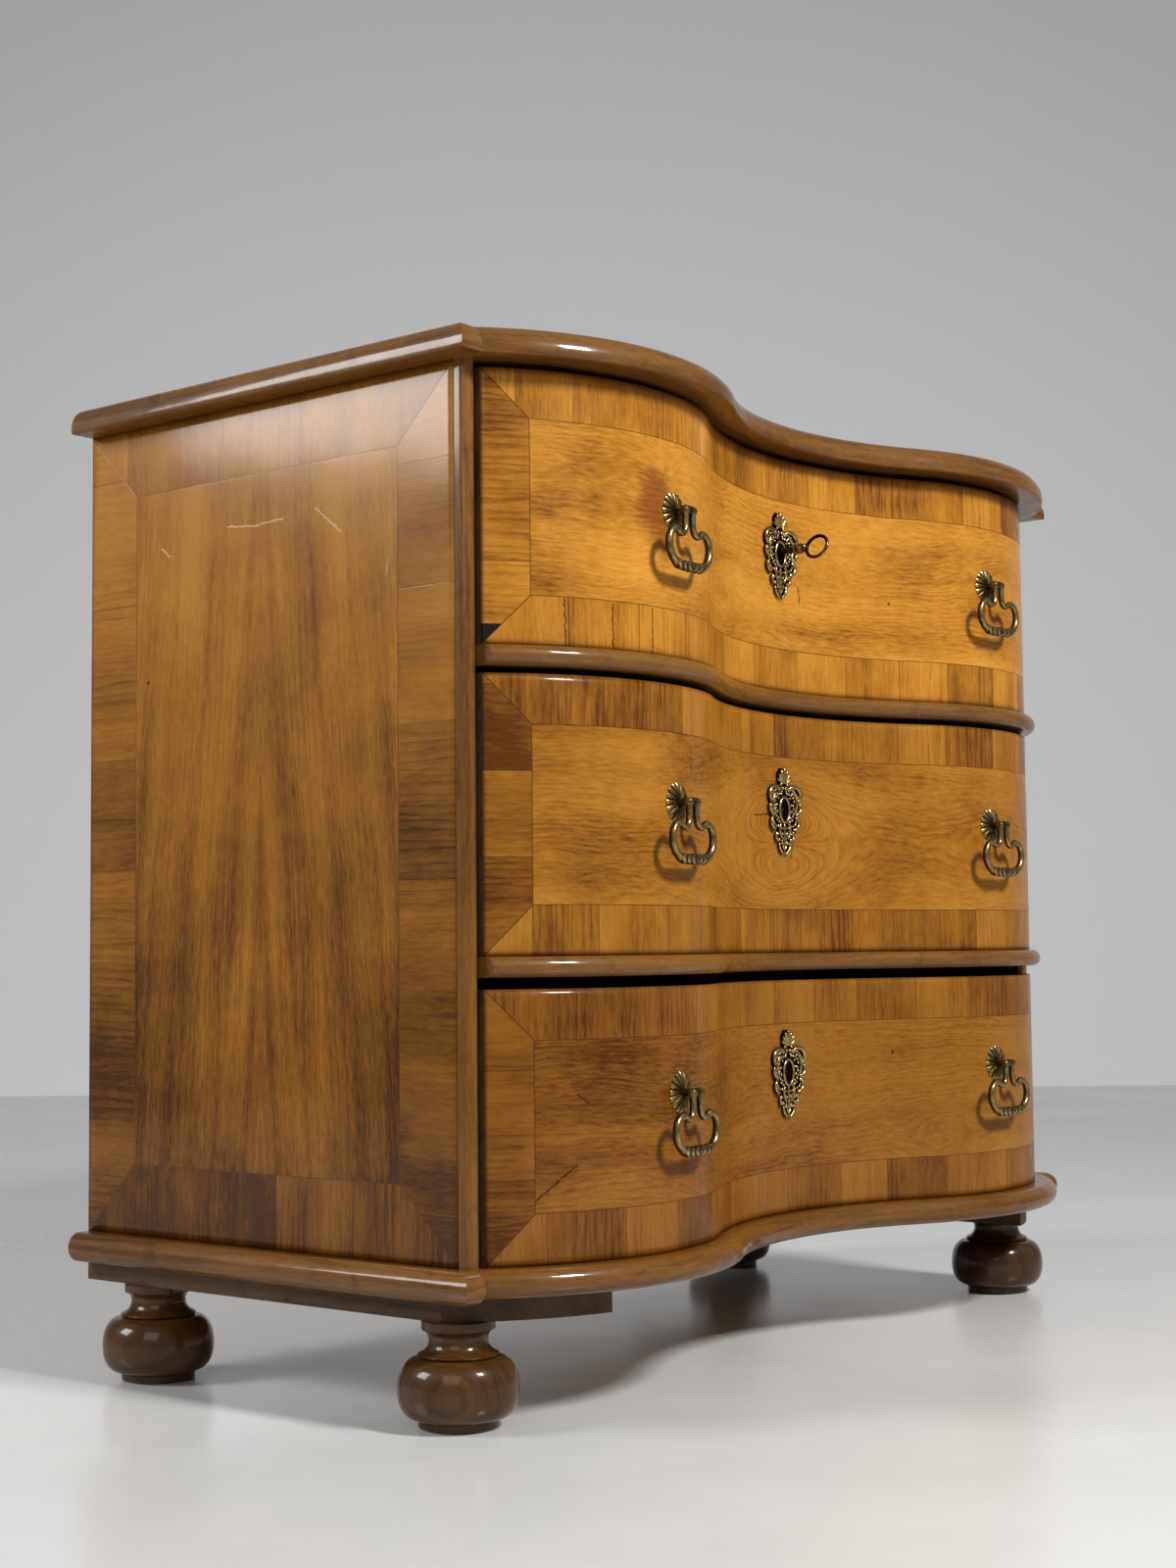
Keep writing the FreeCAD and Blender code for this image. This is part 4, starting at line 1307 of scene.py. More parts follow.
@dataclass
class Moulding:
    """One run of moulding: its section between a root and a nose, low and high."""

    profile: Profile
    nose: float
    low: float
    high: float
    flat: float = 0.005
    round_in: float = 0.013
    chamfer: float = 0.0015
    wear: float = 0.00008

    def section(self, root: float) -> Array:
        """Give the section as a loop of offset and height, from the root's top over the nose to its bottom.

        A thumbnail is an arc that falls from the top to a flat on the nose, tangent to it. A half round is a
        half circle between the two faces.

        Args:
            root: Offset of the section's back.

        Returns:
            The loop, points by 2.
        """
        if self.profile is Profile.HALF_ROUND:
            radius = (self.high - self.low) / 2
            bow = arc((self.nose - radius, self.low + radius), radius, 90, -90, 33)
        else:
            rise = self.high - self.low - self.flat
            radius = (self.round_in**2 + rise**2) / (2 * self.round_in)
            sweep = math.degrees(math.asin(min(rise / radius, 1.0)))
            fall = arc((self.nose - radius, self.low + self.flat), radius, sweep, 0, 19)
            foot = (self.nose - self.chamfer, self.low + self.chamfer)
            bow = np.concatenate([fall, arc(foot, self.chamfer, 0, -90, 5)])
        top = np.linspace((root, self.high), bow[0], 4)[:-1]
        bottom = np.linspace(bow[-1], (root, self.low), 4)[1:]
        return np.concatenate([top, bow, bottom])

    @staticmethod
    def charted(rings: Array, along: Array, section: Array) -> Surface:
        """Loft the rings with u along the run and v round the section.

        Args:
            rings: Stations by section points by x, y, z.
            along: Metres along the run at each station.
            section: The section's loop.

        Returns:
            The closed surface.
        """
        girth = np.concatenate([[0.0], np.cumsum(np.linalg.norm(np.diff(section, axis=0), axis=1))])
        u, v = np.broadcast_arrays(along[:, None], girth[None, :])
        return Surface.loft(rings, np.stack([u, v], axis=-1))

    def front(self, root: float, reach: float, count: int = 241) -> Surface:
        """Carry the section along the serpentine from -reach to reach.

        Args:
            root: Offset of the section's back.
            reach: x of the ends.
            count: Stations along it.

        Returns:
            The closed surface.
        """
        section = self.section(root)
        out, z = section.T
        x = np.linspace(-reach, reach, count)[:, None]
        offset = out - np.abs(ripple(x, 0.0, self.low * 40.0, self.wear)) * (out > root)
        return self.charted(xyz(x, SERPENTINE.y(x, offset), z), SERPENTINE.along(x[:, 0]), section)

    def mitre_y(self, case_half: float) -> float:
        """Give y of the mitre at the side's face: the serpentine's end at the nose, less the nose."""
        return float(SERPENTINE.y(np.array(case_half), self.nose)) + self.nose

    def side(self, side: Side, case_half: float, back: float, count: int = 61) -> Surface:
        """Carry the section along a side, from the mitre to the back.

        Args:
            side: Which side.
            case_half: x of the side's face.
            back: y of the back.
            count: Stations along it.

        Returns:
            The closed surface.
        """
        section = self.section(0.0)
        out, z = section.T
        t = np.linspace(0, 1, count)[:, None]
        y = (self.mitre_y(case_half) - out) * (1 - t) + back * t
        worn = np.abs(ripple(y, 0.0, self.high * 30.0, self.wear)) * (out > 0)
        x = side.value * (case_half + out - worn)
        return self.charted(xyz(x, y, z), y[:, 0] + side.value, section)

    def corner(self, side: Side, case_half: float, count: int = 7) -> Surface:
        """Carry the section along the short return between the mitre and the serpentine run.

        Args:
            side: Which side.
            case_half: x where the serpentine run ends.
            count: Stations along it.

        Returns:
            The closed surface.
        """
        section = self.section(0.0)
        out, z = section.T
        t = np.linspace(0, 1, count)[:, None]
        x = side.value * (case_half + out * (1 - t))
        along = side.value * case_half + 0.02 * t[:, 0] + 0.7
        return self.charted(xyz(x, self.mitre_y(case_half) - out, z), along, section)


@dataclass
class CaseMouldings:
    """The mouldings round the top and the base, the beads of the rails and of the corners."""

    case_half: float = 0.447
    inner_half: float = 0.433
    case_back: float = 0.26236
    side_low: float = 0.122
    side_high: float = 0.817
    top_nose: float = 0.02397
    base_nose: float = 0.022
    let_in: float = 0.010
    rail_nose: float = 0.011
    rail_let_in: float = 0.005
    bead_radius: float = 0.007
    bead_flat: float = 0.0045

    def run(self, name: str, part: str) -> Moulding:
        """Give the section of the top's or the base's moulding, at the heights of one of its solids.

        Args:
            name: top or base.
            part: Which of the moulding's pieces.

        Returns:
            The moulding.
        """
        low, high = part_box(f"{name}_moulding_{part}")
        if name == "top":
            return Moulding(Profile.THUMBNAIL, self.top_nose, low.z, high.z)
        return Moulding(Profile.HALF_ROUND, self.base_nose, low.z, high.z)

    def corner_beads(self) -> Surface:
        """Carry a flat root and a half circle up the sides' front edges.

        Returns:
            Both beads.
        """
        middle = self.bead_radius - self.case_half
        root = SERPENTINE.side_front
        nose = arc((middle, root - self.bead_flat), self.bead_radius, 180, 360, 21)
        bow = np.concatenate([[(nose[0, 0], root)], nose, [(nose[-1, 0], root)]])
        z = np.linspace(self.side_low, self.side_high, 49)
        left = Moulding.charted(xyz(*bow.T, z[:, None]), z, bow)
        return Surface.joined([left, left.mirrored()])

    def runs(self) -> Iterator[tuple[str, str, Surface]]:
        """List the pieces.

        Returns:
            Each piece's name, the solid that it stands for and its surface.
        """
        for name in ("top", "base"):
            front = self.run(name, "front").front(-self.let_in, self.case_half)
            yield f"{name}_edge_front", f"{name}_moulding_front", front
            moulding = self.run(name, "left")
            corners = Surface.joined([moulding.corner(side, self.case_half) for side in Side])
            yield f"{name}_edge_corners", f"{name}_moulding_corners", corners
            for side in Side:
                run = moulding.side(side, self.case_half, self.case_back)
                yield f"{name}_edge_{side.word}", f"{name}_moulding_{side.word}", run
        for level in ("upper", "lower"):
            low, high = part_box(f"rail_bead_{level}")
            bead = Moulding(Profile.HALF_ROUND, self.rail_nose, low.z, high.z)
            yield f"rail_round_{level}", f"rail_bead_{level}", bead.front(-self.rail_let_in, self.inner_half)
        yield "corner_rounds", "corner_beads", self.corner_beads()

    def build(self) -> None:
        """Build and dress all of them."""
        walnut = SolidWood(MOULDING_WALNUT, seed=2.0, coat=0.5).along_chart("moulding_walnut")
        for name, node, surface in self.runs():
            settle(surface.piece(name), "carcass", "walnut_solid", walnut, node)


@dataclass
class BunFeet:
    """Four turned feet: a pad, a bun, a fine ring, a hollow neck and a collar."""

    pad_radius: float = 0.031
    pad_height: float = 0.007
    bun_radius: float = 0.0469
    bun_middle: float = 0.030
    collar_radius: float = 0.0285
    steps: int = 112

    def profile(self, height: float) -> Array:
        """Give radius and height up the foot, drawn with cubic curves.

        Args:
            height: Height of the collar's top.

        Returns:
            The profile from the floor to the collar.
        """
        pad = [(0.0, 0.0), (0.0295, 0.0), (self.pad_radius, 0.0012), (self.pad_radius, self.pad_height - 0.001)]
        widest = (self.bun_radius, self.bun_middle)
        lower = curve(((0.0325, self.pad_height), (0.0445, 0.0085), (self.bun_radius, 0.0205), widest), 20)
        upper = curve((widest, (self.bun_radius, 0.0415), (0.0425, 0.0525), (0.0322, 0.0532)), 20)
        ring = [(0.0302, 0.0534), (0.0312, 0.0542), (0.0316, 0.0552), (0.0308, 0.0564), (0.0292, 0.057)]
        neck = curve(((0.0285, 0.0574), (0.0218, 0.0602), (0.0205, 0.0712), (0.0278, 0.0736)), 20)
        collar = [
            (self.collar_radius, 0.0742),
            (self.collar_radius, height - 0.0006),
            (self.collar_radius - 0.0006, height),
            (0.0, height),
        ]
        return np.concatenate([pad, lower, upper[1:], ring, neck, collar])

    def build(self) -> None:
        """Build and dress the feet."""
        walnut = SolidWood(FOOT_WALNUT, roughness=0.3, coat=0.5, seed=7.0).along_axis("turned_walnut", Axis.UPRIGHT)
        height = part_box("foot_bearers")[0].z
        for row in ("front", "back"):
            for side in Side:
                node = f"foot_{row}_{side.word}"
                low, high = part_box(node)
                middle = ((low.x + high.x) / 2, (low.y + high.y) / 2)
                foot = lathe(self.profile(height), self.steps, middle)
                settle(foot.piece(f"bun_{row}_{side.word}"), "carcass", "walnut_solid", walnut, node)


SIDE_SCRATCHES: Sequence[Scratch] = (
    (0.088, 0.717, 0.055, 0.714),
    (0.055, 0.714, 0.021, 0.716),
    (-0.016, 0.72, -0.045, 0.697),
    (-0.097, 0.67, -0.094, 0.656),
    (0.17, 0.708, 0.158, 0.699),
)


@dataclass
class VeneeredSides:
    """Sheets of veneer on the outer faces of the two sides."""

    proud: float = 0.00015
    thickness: float = 0.0004
    band: float = 0.060
    block: float = 0.105

    def sheet(self, side: Side) -> tuple[Surface, tuple[float, float, float, float]]:
        """Give the sheet over a side's face: x is the face plus a slight ripple, u is y and v is z.

        Args:
            side: Which side.

        Returns:
            The sheet, and its lower and upper limits in u and v.
        """
        low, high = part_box(f"side_panel_{side.word}")
        y, z = np.meshgrid(np.linspace(low.y, high.y - self.proud, 61), np.linspace(low.z, high.z, 91))
        face = high.x if side is Side.RIGHT else -low.x
        x = side.value * (face + self.proud + ripple(y, z, 1.0 + side.value))
        order = slice(None, None, side.value)
        sheet = Surface.grid(xyz(x, y, z)[:, order], np.stack([y, z], axis=-1)[:, order])
        return sheet, (low.y, high.y, low.z, high.z)

    def build(self) -> None:
        """Build and dress both sheets."""
        for side in Side:
            name = f"side_veneer_{side.word}"
            sheet, (near, far, low, high) = self.sheet(side)
            piece = sheet.piece(name, closed=False)
            solidify(piece, self.thickness)
            graph = Graph(name)
            y, z = graph.chart()
            edges = (y - near, far - y, z - low, high - z)
            middle = (near + far) / 2
            finish = BandedVeneer(
                SIDE_WALNUT,
                5.0 + side.value,
                self.band,
                self.block,
                Axis.UPRIGHT,
                scratches=[(y0 - middle, z0, y1 - middle, z1) for y0, z0, y1, z1 in SIDE_SCRATCHES],
                field=Grain(0.013, 0.08, 0.85, 0.5, 150.0, 36.0),
                splay=0.08,
                band_tone=-0.02,
                run=0.0,
                # painted light: the side's veneer lighter toward the top
                rise=0.52,
                joint_colour=(0.09, 0.036, 0.006),
                coat=0.5,
            )
            settle(piece, "carcass", "walnut_veneer", finish.material(graph, y - middle, z, edges))


@dataclass
class DrawerFace:
    """The veneer on one drawer's serpentine front, cut out round the keyhole."""

    drawer: str
    finish: BandedVeneer
    proud: float = 0.0004
    thickness: float = 0.0006
    slot_half: float = 0.0055
    slot_up: float = 0.0055
    slot_down: float = 0.0125
    cell_width: float = 0.0036
    cell_height: float = 0.006

    def sheet(self, half: float) -> Surface:
        """Give the sheet: y follows the serpentine at a small offset, u is arc length and v is height.

        Args:
            half: Arc length from the middle to an end.

        Returns:
            The sheet, open round the keyhole.
        """
        low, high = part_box(f"{self.drawer}_front")
        key_z = keyhole_height(self.drawer)
        slot_low, slot_high = key_z - self.slot_down, key_z + self.slot_up
        u = stations((-half, -self.slot_half, self.slot_half, half), self.cell_width)
        z = stations((low.z, slot_low, slot_high, high.z), self.cell_height)
        u_mid, z_mid = np.meshgrid((u[1:] + u[:-1]) / 2, (z[1:] + z[:-1]) / 2)
        slot = (np.abs(u_mid) < self.slot_half) & (z_mid > slot_low) & (z_mid < slot_high)
        u, z = np.meshgrid(u, z)
        x = SERPENTINE.x_at(u)
        y = SERPENTINE.y(x, self.proud + ripple(u, z, self.finish.seed))
        return Surface.grid(xyz(x, y, z), np.stack([u, z - low.z], axis=-1), keep=~slot)

    def build(self) -> None:
        """Build and dress the sheet."""
        low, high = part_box(f"{self.drawer}_front")
        half = float(SERPENTINE.along(np.array(SERPENTINE.front_half)))
        piece = self.sheet(half).piece(f"{self.drawer}_veneer", closed=False)
        solidify(piece, self.thickness)
        graph = Graph(f"{self.drawer}_veneer")
        along, up = graph.chart()
        edges = (along + half, half - along, up, high.z - low.z - up)
        settle(piece, self.drawer, "walnut_veneer", self.finish.material(graph, along, up, edges))


PLATE_EDGE = (
    (0, 36.4), (5.0, 35.8), (8.8, 32.5), (9.8, 28.5), (8.4, 24.0), (6.6, 20.2), (9.0, 18.2), (14.0, 19.8),
    (21.0, 16.8), (25.8, 11.5), (26.0, 7.0), (23.0, 4.0), (25.4, 0.5), (23.6, -4.5), (16.6, -8.0),
    (21.8, -11.4), (22.4, -16.8), (17.0, -21.0), (11.2, -21.6), (13.8, -27.3), (12.4, -31.0), (7.6, -31.2),
    (8.6, -36.0), (5.5, -40.0), (2.4, -42.4), (0, -44.3),
)
SCROLLS = (
    (((8.6, 16.8), (16.5, 22.6), (29.5, 15.5), (23.0, 6.0)), 2.3, 3.2),
    (((22.8, 3.4), (27.6, 0.8), (24.0, -6.2), (17.6, -6.8)), 1.9, 3.2),
    (((11.0, 12.6), (18.0, 14.8), (22.8, 3.6), (15.8, -5.0)), 1.5, 3.4),
    (((17.4, -9.4), (24.6, -9.6), (24.2, -20.0), (14.4, -20.4)), 2.0, 3.0),
    (((11.8, -22.6), (15.6, -24.6), (15.2, -31.6), (8.6, -30.4)), 1.8, 2.8),
    (((8.0, -32.4), (10.4, -36.6), (6.0, -40.0), (1.8, -43.2)), 1.5, 2.6),
    (((5.4, -14.6), (10.5, -17.5), (8.6, -24.0), (4.8, -29.0)), 1.4, 3.3),
)


@dataclass
class KeyholePlate:
    """A cast cartouche round a keyhole: a domed plate under scrolls, a shell crest and a leaf tail.

    Sizes are in millimetres in the plate's own plane, from the middle of the keyhole.
    """

    drawer: str
    key_radius: float = 3.5
    slot_half: float = 2.5
    slot_down: float = 10.5
    seat: float = 0.3
    dome: float = 1.2
    notch: float = 0.8
    notches: int = 13

    def outline(self, angle: Array) -> Array:
        """Give the plate's edge as a radius at each angle, between points round its right half.

        Args:
            angle: Angles from the right, in radians.

        Returns:
            Radii.
        """
        x, z = np.array(PLATE_EDGE)[::-1].T
        folded = np.arctan2(np.sin(angle), np.abs(np.cos(angle)))
        radius = np.interp(folded, np.arctan2(z, x), np.hypot(x, z))
        return radius - self.notch * np.abs(np.sin(self.notches * folded))

    def keyhole(self, angle: Array) -> Array:
        """Give the keyhole's edge as a radius at each angle: a circle with a slot below.

        Args:
            angle: Angles from the right, in radians.

        Returns:
            Radii.
        """
        down = np.maximum(-np.sin(angle), 1e-6)
        slot = np.minimum(self.slot_down / down, self.slot_half / np.maximum(np.abs(np.cos(angle)), 1e-6))
        return np.where(np.sin(angle) < 0, np.maximum(self.key_radius, slot), self.key_radius)

    def plate(self) -> Surface:
        """Lay rings between the keyhole and the outline, domed, and closed behind.

        Returns:
            The plate.
        """
        angle = turns(288) + 0.001
        share = np.array([0.0, 0.0, 0.06, 0.18, 0.34, 0.5, 0.66, 0.8, 0.92, 1.0, 1.0])
        height = self.seat + self.dome * (1 - share**2) + 0.6
        height[[0, -1]] = self.seat
        inner, outer = self.keyhole(angle), self.outline(angle)
        radius = inner + (outer - inner) * share[:, None]
        points = xyz(radius * np.cos(angle), height[:, None], radius * np.sin(angle))
        return Surface.grid(points, None, 0.04 + 0.1 * (1 - share[:, None]), around=True, ring=True)

    @staticmethod
    def bar(path: Array, radius: Array, height: float) -> Surface:
        """Lay a round bar along a path in the plate's plane, at one height over the face."""
        return tube(np.insert(path, 1, height, axis=1), radius)

    def strand(self, points: Sequence[tuple[float, float]], thick: float, height: float) -> list[Surface]:
        """Lay a rounded strand along a curve, and its mirror image.

        Args:
            points: Start, two handles and end.
            thick: Radius of its middle.
            height: Height of its axis over the face.

        Returns:
            The strand on the right and the one on the left.
        """
        path = curve(points)
        right = self.bar(path, rounded_ends(len(path), thick, 0.25, 0.25), height)
        return [right, right.mirrored()]

    def knob(self, x: float, z: float, radius: float, height: float = 2.6) -> Surface:
        """Lay a round knob: rings of a ball, radius times cosine, at radius times sine.

        Args:
            x: Its place across the plate.
            z: Its place up the plate.
            radius: Its radius.
            height: Height of its middle over the face.

        Returns:
            The knob.
        """
        lift = np.linspace(-np.pi / 2, np.pi / 2, 13)
        ball = lathe(np.stack([radius * np.cos(lift), radius * np.sin(lift)], axis=-1), 18)
        ball = ball.moved(placed(((1, 0, 0), (0, 0, 1), (0, -1, 0)), (x, height, z)))
        ball.relief = np.clip(0.5 + (ball.points[:, 1] - height) / radius / 2, 0, 1)
        return ball

    def collar(self) -> Surface:
        """Carry a circle round an oval, for the raised rim of the keyhole.

        Returns:
            The rim.
        """
        angle, turn = turns(64)[:, None], turns(12)
        wide, tall, thick = 7.8, 11.4, 1.5
        swing = thick * np.cos(turn)
        x = (wide + swing) * np.cos(angle)
        z = (tall + swing) * np.sin(angle) - 2.6
        points = xyz(x, 3.0 + thick * np.sin(turn), z)
        return Surface.grid(points, None, 0.5 + 0.5 * np.sin(turn), around=True, ring=True)

    def pearls(self) -> list[tuple[float, float, float]]:
        """Set out the round knobs on the scrolls' ends, in the shield, round the neck and in two rows along the edge.

        Returns:
            x, z and radius of each on the right half.
        """
        scrolls = [(9.0, 16.8, 2.5), (19.4, -6.6, 2.4), (9.4, -30.0, 1.9), (22.4, 6.4, 2.2)]
        angle = np.radians((38.0, 12.0, -14.0, -36.0))
        shield = [(12.2 * math.cos(a), 15.0 * math.sin(a) - 1.0, 1.35) for a in angle]
        neck = [(2.4, 17.2, 1.7), (5.2, 20.4, 1.6), (3.4, 14.2, 1.2), (8.2, -13.6, 1.5), (17.2, -15.4, 1.3)]
        for share, radius, count in ((0.62, 1.5, 13), (0.84, 1.3, 21)):
            turn = np.radians(np.linspace(-82, 70, count))
            reach = share * self.outline(turn)
            neck += [(r * math.cos(a), r * math.sin(a), radius) for r, a in zip(reach, turn)]
        return scrolls + shield + neck

    def ornament(self) -> list[Surface]:
        """Lay the scrolls, the knobs, the shell crest and the leaf tail.

        Returns:
            Their surfaces.
        """
        parts = [self.collar()]
        for points, thick, height in SCROLLS:
            parts += self.strand(points, thick, height)
        for x, z, radius in self.pearls():
            parts += [self.knob(x, z, radius), self.knob(-x, z, radius)]
        for lean in np.radians(np.linspace(-62, 62, 7)):
            length = 15.2 - 3.0 * abs(lean)
            tip = (length * math.sin(lean), 20.6 + length * math.cos(lean))
            ray = np.linspace((0.3 * tip[0], 21.4), tip, 16)
            parts.append(self.bar(ray, np.linspace(0.8, 2.15, 16) * rounded_ends(16, 1.0, 0.5, 0.1), 3.3))
        rib = np.linspace((0.0, -15.0), (0.0, -44.2), 20)
        parts.append(self.bar(rib, np.linspace(1.7, 0.8, 20) * rounded_ends(20, 1.0, 0.3, 0.2), 2.6))
        for number in range(5):
            low = -20.0 - 4.7 * number
            wide = 10.8 - 1.9 * number
            leaf = ((0.4, low), (wide * 0.4, low + 0.4), (wide * 0.8, low + 2.6), (wide, low + 3.8))
            parts += self.strand(leaf, 1.1, 2.4)
        return parts

    def build(self, brass: bpy.types.Material) -> None:
        """Build and dress the plate.

        Args:
            brass: The finish.
        """
        flat = Surface.joined([self.plate(), *self.ornament()])
        flat.points = flat.points * MM
        piece = flat.bent(keyhole_height(self.drawer)).piece(f"{self.drawer}_cartouche")
        settle(piece, self.drawer, "brass", brass, f"{self.drawer}_keyhole_plate")


@dataclass
class Pull:
    """A bail on two posts in front of a fluted rosette.

    Sizes are in millimetres in the pull's own frame: x along the bail, y to the back, z up from the pivot.
    """

    drawer: str
    side: Side
    reach: float = 15.0
    rosette: float = 16.5
    flutes: int = 16
    arm: float = 5.5
    half_width: float = 31.0
    drop: float = 46.0

    def place(self) -> Array:
        """Find the pull's frame from its hinge: x runs against the hinge's axis.

        Returns:
            The matrix from the pull's millimetres to the chest's metres.
        """
        hinge = joint(f"{self.drawer}_bail_{self.side.word}_swing")
        x = -np.array(hinge["axis"], float)
        z = np.array([0.0, 0.0, 1.0])
        return placed([axis * MM for axis in (x, np.cross(z, x), z)], hinge["pos_m"])

    def rosette_surface(self) -> Surface:
        """Lay rings from a boss to a scalloped rim, lifted by an arch and by round flutes.

        Returns:
            The rosette.
        """
        angle = turns(self.flutes * 14)
        share = np.array([0.0, 0.0, 0.05, 0.12, 0.22, 0.35, 0.5, 0.65, 0.78, 0.88, 0.95, 1.0, 1.0])
        lobe = np.abs(np.cos(self.flutes / 2 * angle)) ** 0.7
        rim = self.rosette * (0.955 + 0.045 * lobe)
        inner = 2.0
        radius = inner + (rim - inner) * share[:, None]
        arch = 1.0 + 2.5 * np.sin(np.pi * np.clip(0.22 + 0.78 * share, 0, 1)) ** 0.8
        height = arch[:, None] - 1.25 * (1 - lobe) * np.sqrt(share[:, None])
        height[[0, -1]] = 0.2
        relief = np.clip(0.2 + 0.75 * lobe * np.sqrt(share[:, None]), 0, 1)
        points = xyz(radius * np.cos(angle), self.reach - height, radius * np.sin(angle))
        return Surface.grid(points, None, relief, around=True, ring=True)

    def bail_line(self) -> Array:
        """Draw half of the bail's axis: down the arm, out over the shoulder, down the side, round to the grip.

        Returns:
            x and z of its points.
        """
        wide, low = self.half_width, -self.drop
        arm = np.linspace((self.arm, 0.0), (self.arm - 0.2, -9.0), 6)
        shoulder = curve((arm[-1], (5.0, -17.5), (9.5, -21.8), (15.0, -19.6)), 20)
        hump = curve((shoulder[-1], (17.6, -18.5), (19.0, -16.8), (21.6, -17.4)), 14)
        side = curve((hump[-1], (27.6, -18.4), (wide, -23.0), (wide, -29.0)), 16)
        round_in = curve((side[-1], (wide, -39.5), (22.5, low), (11.0, low)), 26)
        grip = np.linspace((11.0, low), (0.0, low), 24)
        return np.concatenate([arm, shoulder[1:], hump[1:], side[1:], round_in[1:], grip[1:]])

    def bail_surface(self) -> Surface:
        """Give the bail: a circle carried along its axis, thicker at the shoulder and at the carved grip.

        The grip's radius has leaves on it: a wave that climbs along the axis and leans back round the bar.

        Returns:
            The closed surface.
        """
        half = self.bail_line()
        line = np.concatenate([half, (half * (-1.0, 1.0))[-2::-1]])
        length = np.concatenate([[0.0], np.cumsum(np.linalg.norm(np.diff(line, axis=0), axis=1))])
        even = np.linspace(0, length[-1], 401)
        line = np.stack([np.interp(even, length, line[:, 0]), np.interp(even, length, line[:, 1])], axis=-1)
        tangent = np.gradient(line, axis=0)
        tangent /= np.linalg.norm(tangent, axis=1, keepdims=True)
        angle = turns(28)
        from_grip = np.abs(even - even[-1] / 2)[:, None]
        grip = np.clip((24.0 - from_grip) / 6.0, 0, 1)
        nose = np.exp(-(((from_grip - 57.0) / 3.4) ** 2))
        leaf = np.abs(np.sin(np.pi * from_grip / 7.0 + 1.1 * np.cos(angle * 2)))
        bud = np.exp(-((from_grip / 3.0) ** 2))
        radius = 2.8 + 0.4 * nose + np.clip((64.0 - from_grip) / 40.0, 0, 1) * 0.6
        radius = radius + grip * (0.35 + 0.75 * leaf * (1 - bud)) + 0.9 * bud
        x = line[:, :1] - tangent[:, 1:] * radius * np.cos(angle)
        y = radius * np.sin(angle)
        z = line[:, 1:] + tangent[:, :1] * radius * np.cos(angle)
        relief = np.clip(0.5 - 0.35 * np.sin(angle) + grip * (leaf - 0.75) * 0.7, 0, 1)
        return Surface.loft(xyz(x, y, z), None, relief)

    def barrels(self) -> list[Surface]:
        """Turn the round bosses on the arms and the pin through the post about x.

        Returns:
            Both bosses and the pin.
        """
        turn = placed(((0, 1, 0), (0, 0, 1), (1, 0, 0)), (0, 0, 0))
        boss = np.array([(0, 2.3), (3.2, 2.3), (3.7, 3.4), (3.8, 5.2), (3.7, 6.9), (3.1, 8.0), (1.6, 8.6), (0, 8.7)])
        pin = np.array([(0, -2.6), (1.45, -2.6), (1.45, 2.6), (0, 2.6)])
        right = lathe(boss, 28).moved(turn)
        right.relief = np.full(len(right.points), 0.7)
        rod = lathe(pin, 16).moved(turn)
        return [right, right.mirrored(), rod]

    def build(self, brass: bpy.types.Material) -> Surface:
        """Build and dress the bail.

        Args:
            brass: The finish.

        Returns:
            The rosette in its place, for the drawer's pair.
        """
        word = self.side.word
        node = f"{self.drawer}_bail_{word}"
        bail = Surface.joined([self.bail_surface(), *self.barrels()]).moved(self.place())
        settle(bail.piece(f"{self.drawer}_handle_{word}"), node, "brass", brass, node)
        return self.rosette_surface().moved(self.place())


